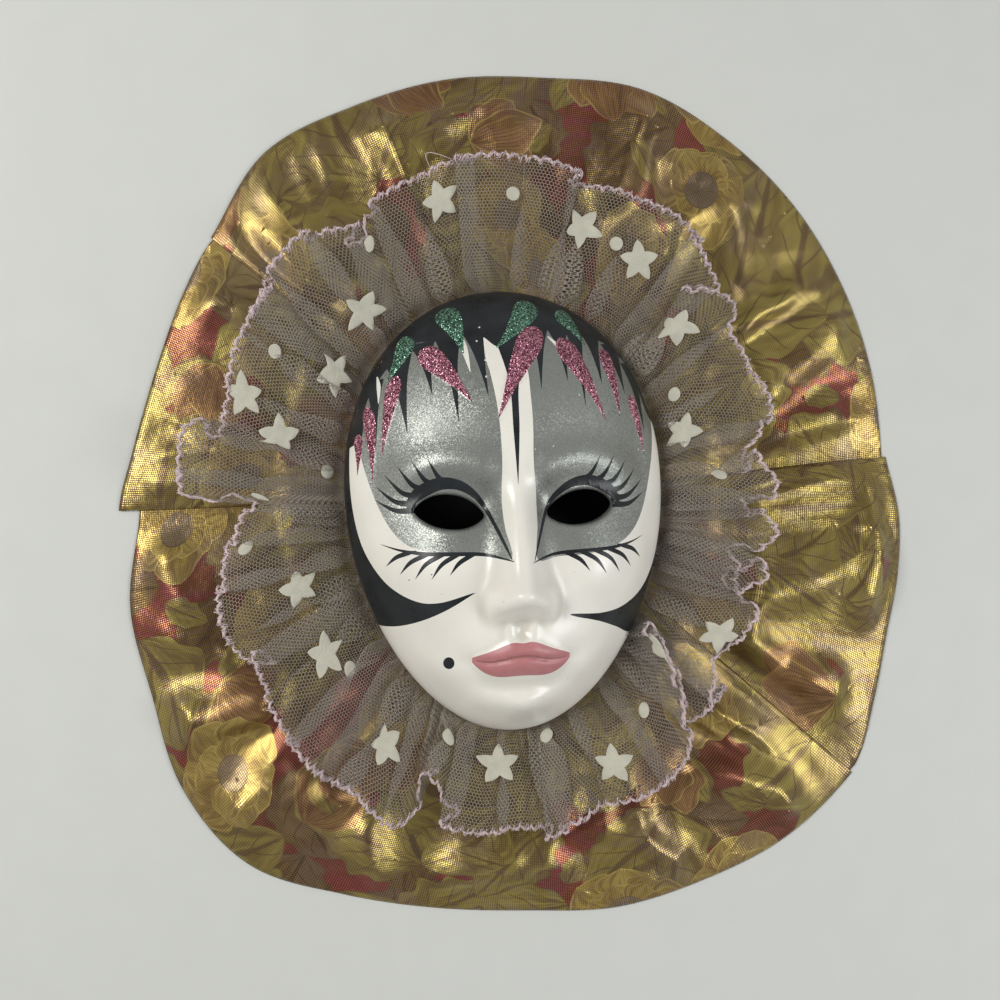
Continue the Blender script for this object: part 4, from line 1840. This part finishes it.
class MASK_OT_collar(bpy.types.Operator):
    """Lay the four lengths of the printed gold collar"""

    bl_idname = "wall_mask.collar"
    bl_label = "Gold collar"

    def execute(self, context):
        materials = collar_materials(context.scene.wall_mask_colours)
        for number, length in enumerate(COLLAR_LENGTHS):
            points, faces, kind, cloth, petal, edge = collar_mesh(number, length)
            piece = new_piece(f"gold_collar_{number + 1}", "gold_lame", points, faces, materials, kind)
            for name, corners in (("cloth", cloth), ("petal", petal), ("edge", edge)):
                set_uv(piece, name, corners)
            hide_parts("fabric_collar")
            long = shown_length(length) + COLLAR_TUCK
        return {"FINISHED"}


class MASK_OT_ruffle(bpy.types.Operator):
    """Gather the star net round the mask, with its edging and its flocked stars and dots"""

    bl_idname = "wall_mask.ruffle"
    bl_label = "Net ruffle"

    def execute(self, context):
        colours = context.scene.wall_mask_colours
        strip = ruffle_strip()
        faces = np.roll(grid_quads(*strip.shape[:2], open_rows=1)[:, ::-1], 1, axis=1)
        net = new_piece("net_ruffle", "star_tulle", strip.reshape(-1, 3), faces, [net_material(colours)])
        cloth, let_out, flat = net_cloth(strip, faces)
        set_uv(net, "cloth", cloth)
        set_uv(net, "gather", let_out)
        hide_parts("tulle_ruffle")
        thread, flock = thread_material(colours), flock_material(colours)
        hem = new_piece("ruffle_edging", "star_tulle", *edging(strip), [thread])
        loop = new_piece("loose_thread", "star_tulle", *loose_thread(), [thread])
        marks = new_piece("flocked_stars", "star_tulle", *flocking(strip), [flock])
        return {"FINISHED"}


class MASK_OT_card(bpy.types.Operator):
    """Finish the backing card"""

    bl_idname = "wall_mask.card"
    bl_label = "Backing card"

    def execute(self, context):
        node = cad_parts["backing_card"]
        node.material_slots[0].material = card_material(context.scene.wall_mask_colours)
        return {"FINISHED"}


def area_light(name, place, size, power, colour):
    """Round lamp that points at the middle of the face."""
    data = bpy.data.lights.new(name, "AREA")
    data.shape = "DISK"
    data.size = size
    data.energy = power
    data.color = colour
    light = bpy.data.objects.new(name, data)
    light.location = place
    light.rotation_euler = (Vector(LAMP_AIM) - Vector(place)).to_track_quat("-Z", "Y").to_euler()
    bpy.context.scene.collection.objects.link(light)


def pale_floor(colour):
    material, nodes, shader = new_material("Pale floor", colour, roughness=0.9)
    grain = nodes.noise(nodes.object_place(), 60.0, 6.0)
    nodes.feed(shader.inputs, {"Base Color": nodes.mix(grain, shade(colour, 0.97), shade(colour, 1.03))})
    mesh = bpy.data.meshes.new("floor")
    corners = [(x * FLOOR_REACH, y * FLOOR_REACH, FLOOR_Z) for x, y in ((-1, -1), (1, -1), (1, 1), (-1, 1))]
    mesh.from_pydata(corners, [], [(0, 1, 2, 3)])
    mesh.materials.append(material)
    floor = bpy.data.objects.new("floor", mesh)
    bpy.context.scene.collection.objects.link(floor)
    floor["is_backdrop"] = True


def soft_room():
    """Dim room with a paler band round it and a few broad soft glows."""
    world = bpy.data.worlds.new("Soft room")
    world.use_nodes = True
    background = world.node_tree.nodes["Background"]
    nodes = Nodes(world.node_tree)
    direction = nodes.add("ShaderNodeTexCoord").outputs["Generated"]
    level = nodes.ramp(nodes.axes(direction)[2], 0.95, 0.3, 0.05, 0.3)
    for place, start, glow in ROOM_GLOWS:
        towards = nodes.add("ShaderNodeVectorMath", {0: direction, 1: place},
                            operation="DOT_PRODUCT").outputs["Value"]
        level = nodes.plus(level, nodes.ramp(towards, start, 1.0, 0.04, glow))
    grey = nodes.add("ShaderNodeCombineColor", {0: level, 1: level, 2: level}).outputs[0]
    nodes.feed(background.inputs, {"Color": grey})
    background.inputs["Strength"].default_value = ROOM_STRENGTH
    return world


class MASK_OT_stage(bpy.types.Operator):
    """Set the pale floor, the soft light and the camera"""

    bl_idname = "wall_mask.stage"
    bl_label = "Stage"

    def execute(self, context):
        scene = context.scene
        settings = scene.wall_mask_stage
        pale_floor(settings.floor)
        scene.world = soft_room()
        for lamp in LAMPS:
            area_light(*lamp)
        camera_data = bpy.data.cameras.new("Camera")
        camera_data.lens = settings.lens
        camera_data.sensor_width = SENSOR_WIDTH
        camera = bpy.data.objects.new("Camera", camera_data)
        aim = Vector(settings.aim)
        away = Vector((-math.sin(settings.yaw), 0, math.cos(settings.yaw)))
        camera.location = aim + away * settings.distance
        camera.rotation_euler = (0, -settings.yaw, 0)
        scene.collection.objects.link(camera)
        scene.camera = camera
        scene.view_settings.view_transform = "Standard"
        return {"FINISHED"}


class MASK_PT_panel(bpy.types.Panel):
    """Lists the builders and the settings they use"""

    bl_label = "Wall Mask"
    bl_idname = "MASK_PT_panel"
    bl_space_type = "VIEW_3D"
    bl_region_type = "UI"
    bl_category = "Wall Mask"

    def draw(self, context):
        for operator in OPERATORS:
            self.layout.operator(operator.bl_idname)
        for group in (context.scene.wall_mask_colours, context.scene.wall_mask_stage):
            for name in group.__annotations__:
                self.layout.prop(group, name)


GROUPS = {"wall_mask_colours": MaskColours, "wall_mask_stage": StageSettings}
OPERATORS = (MASK_OT_stage, MASK_OT_card, MASK_OT_collar, MASK_OT_ruffle, MASK_OT_face)


def register():
    for group in GROUPS.values():
        bpy.utils.register_class(group)
    for name, group in GROUPS.items():
        setattr(bpy.types.Scene, name, PointerProperty(type=group))
    for cls in OPERATORS + (MASK_PT_panel,):
        bpy.utils.register_class(cls)


def unregister():
    for cls in reversed(OPERATORS + (MASK_PT_panel,)):
        bpy.utils.unregister_class(cls)
    for name, group in GROUPS.items():
        delattr(bpy.types.Scene, name)
        bpy.utils.unregister_class(group)


def main():
    register()
    bpy.ops.wall_mask.stage()
    bpy.ops.wall_mask.card()
    bpy.ops.wall_mask.collar()
    bpy.ops.wall_mask.ruffle()
    bpy.ops.wall_mask.face()
    boxes = {"cad": CAD_BOX, "visual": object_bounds()}
    {key: [list(corner) for corner in box] for key, box in boxes.items()}


if __name__ == "__main__":
    main()
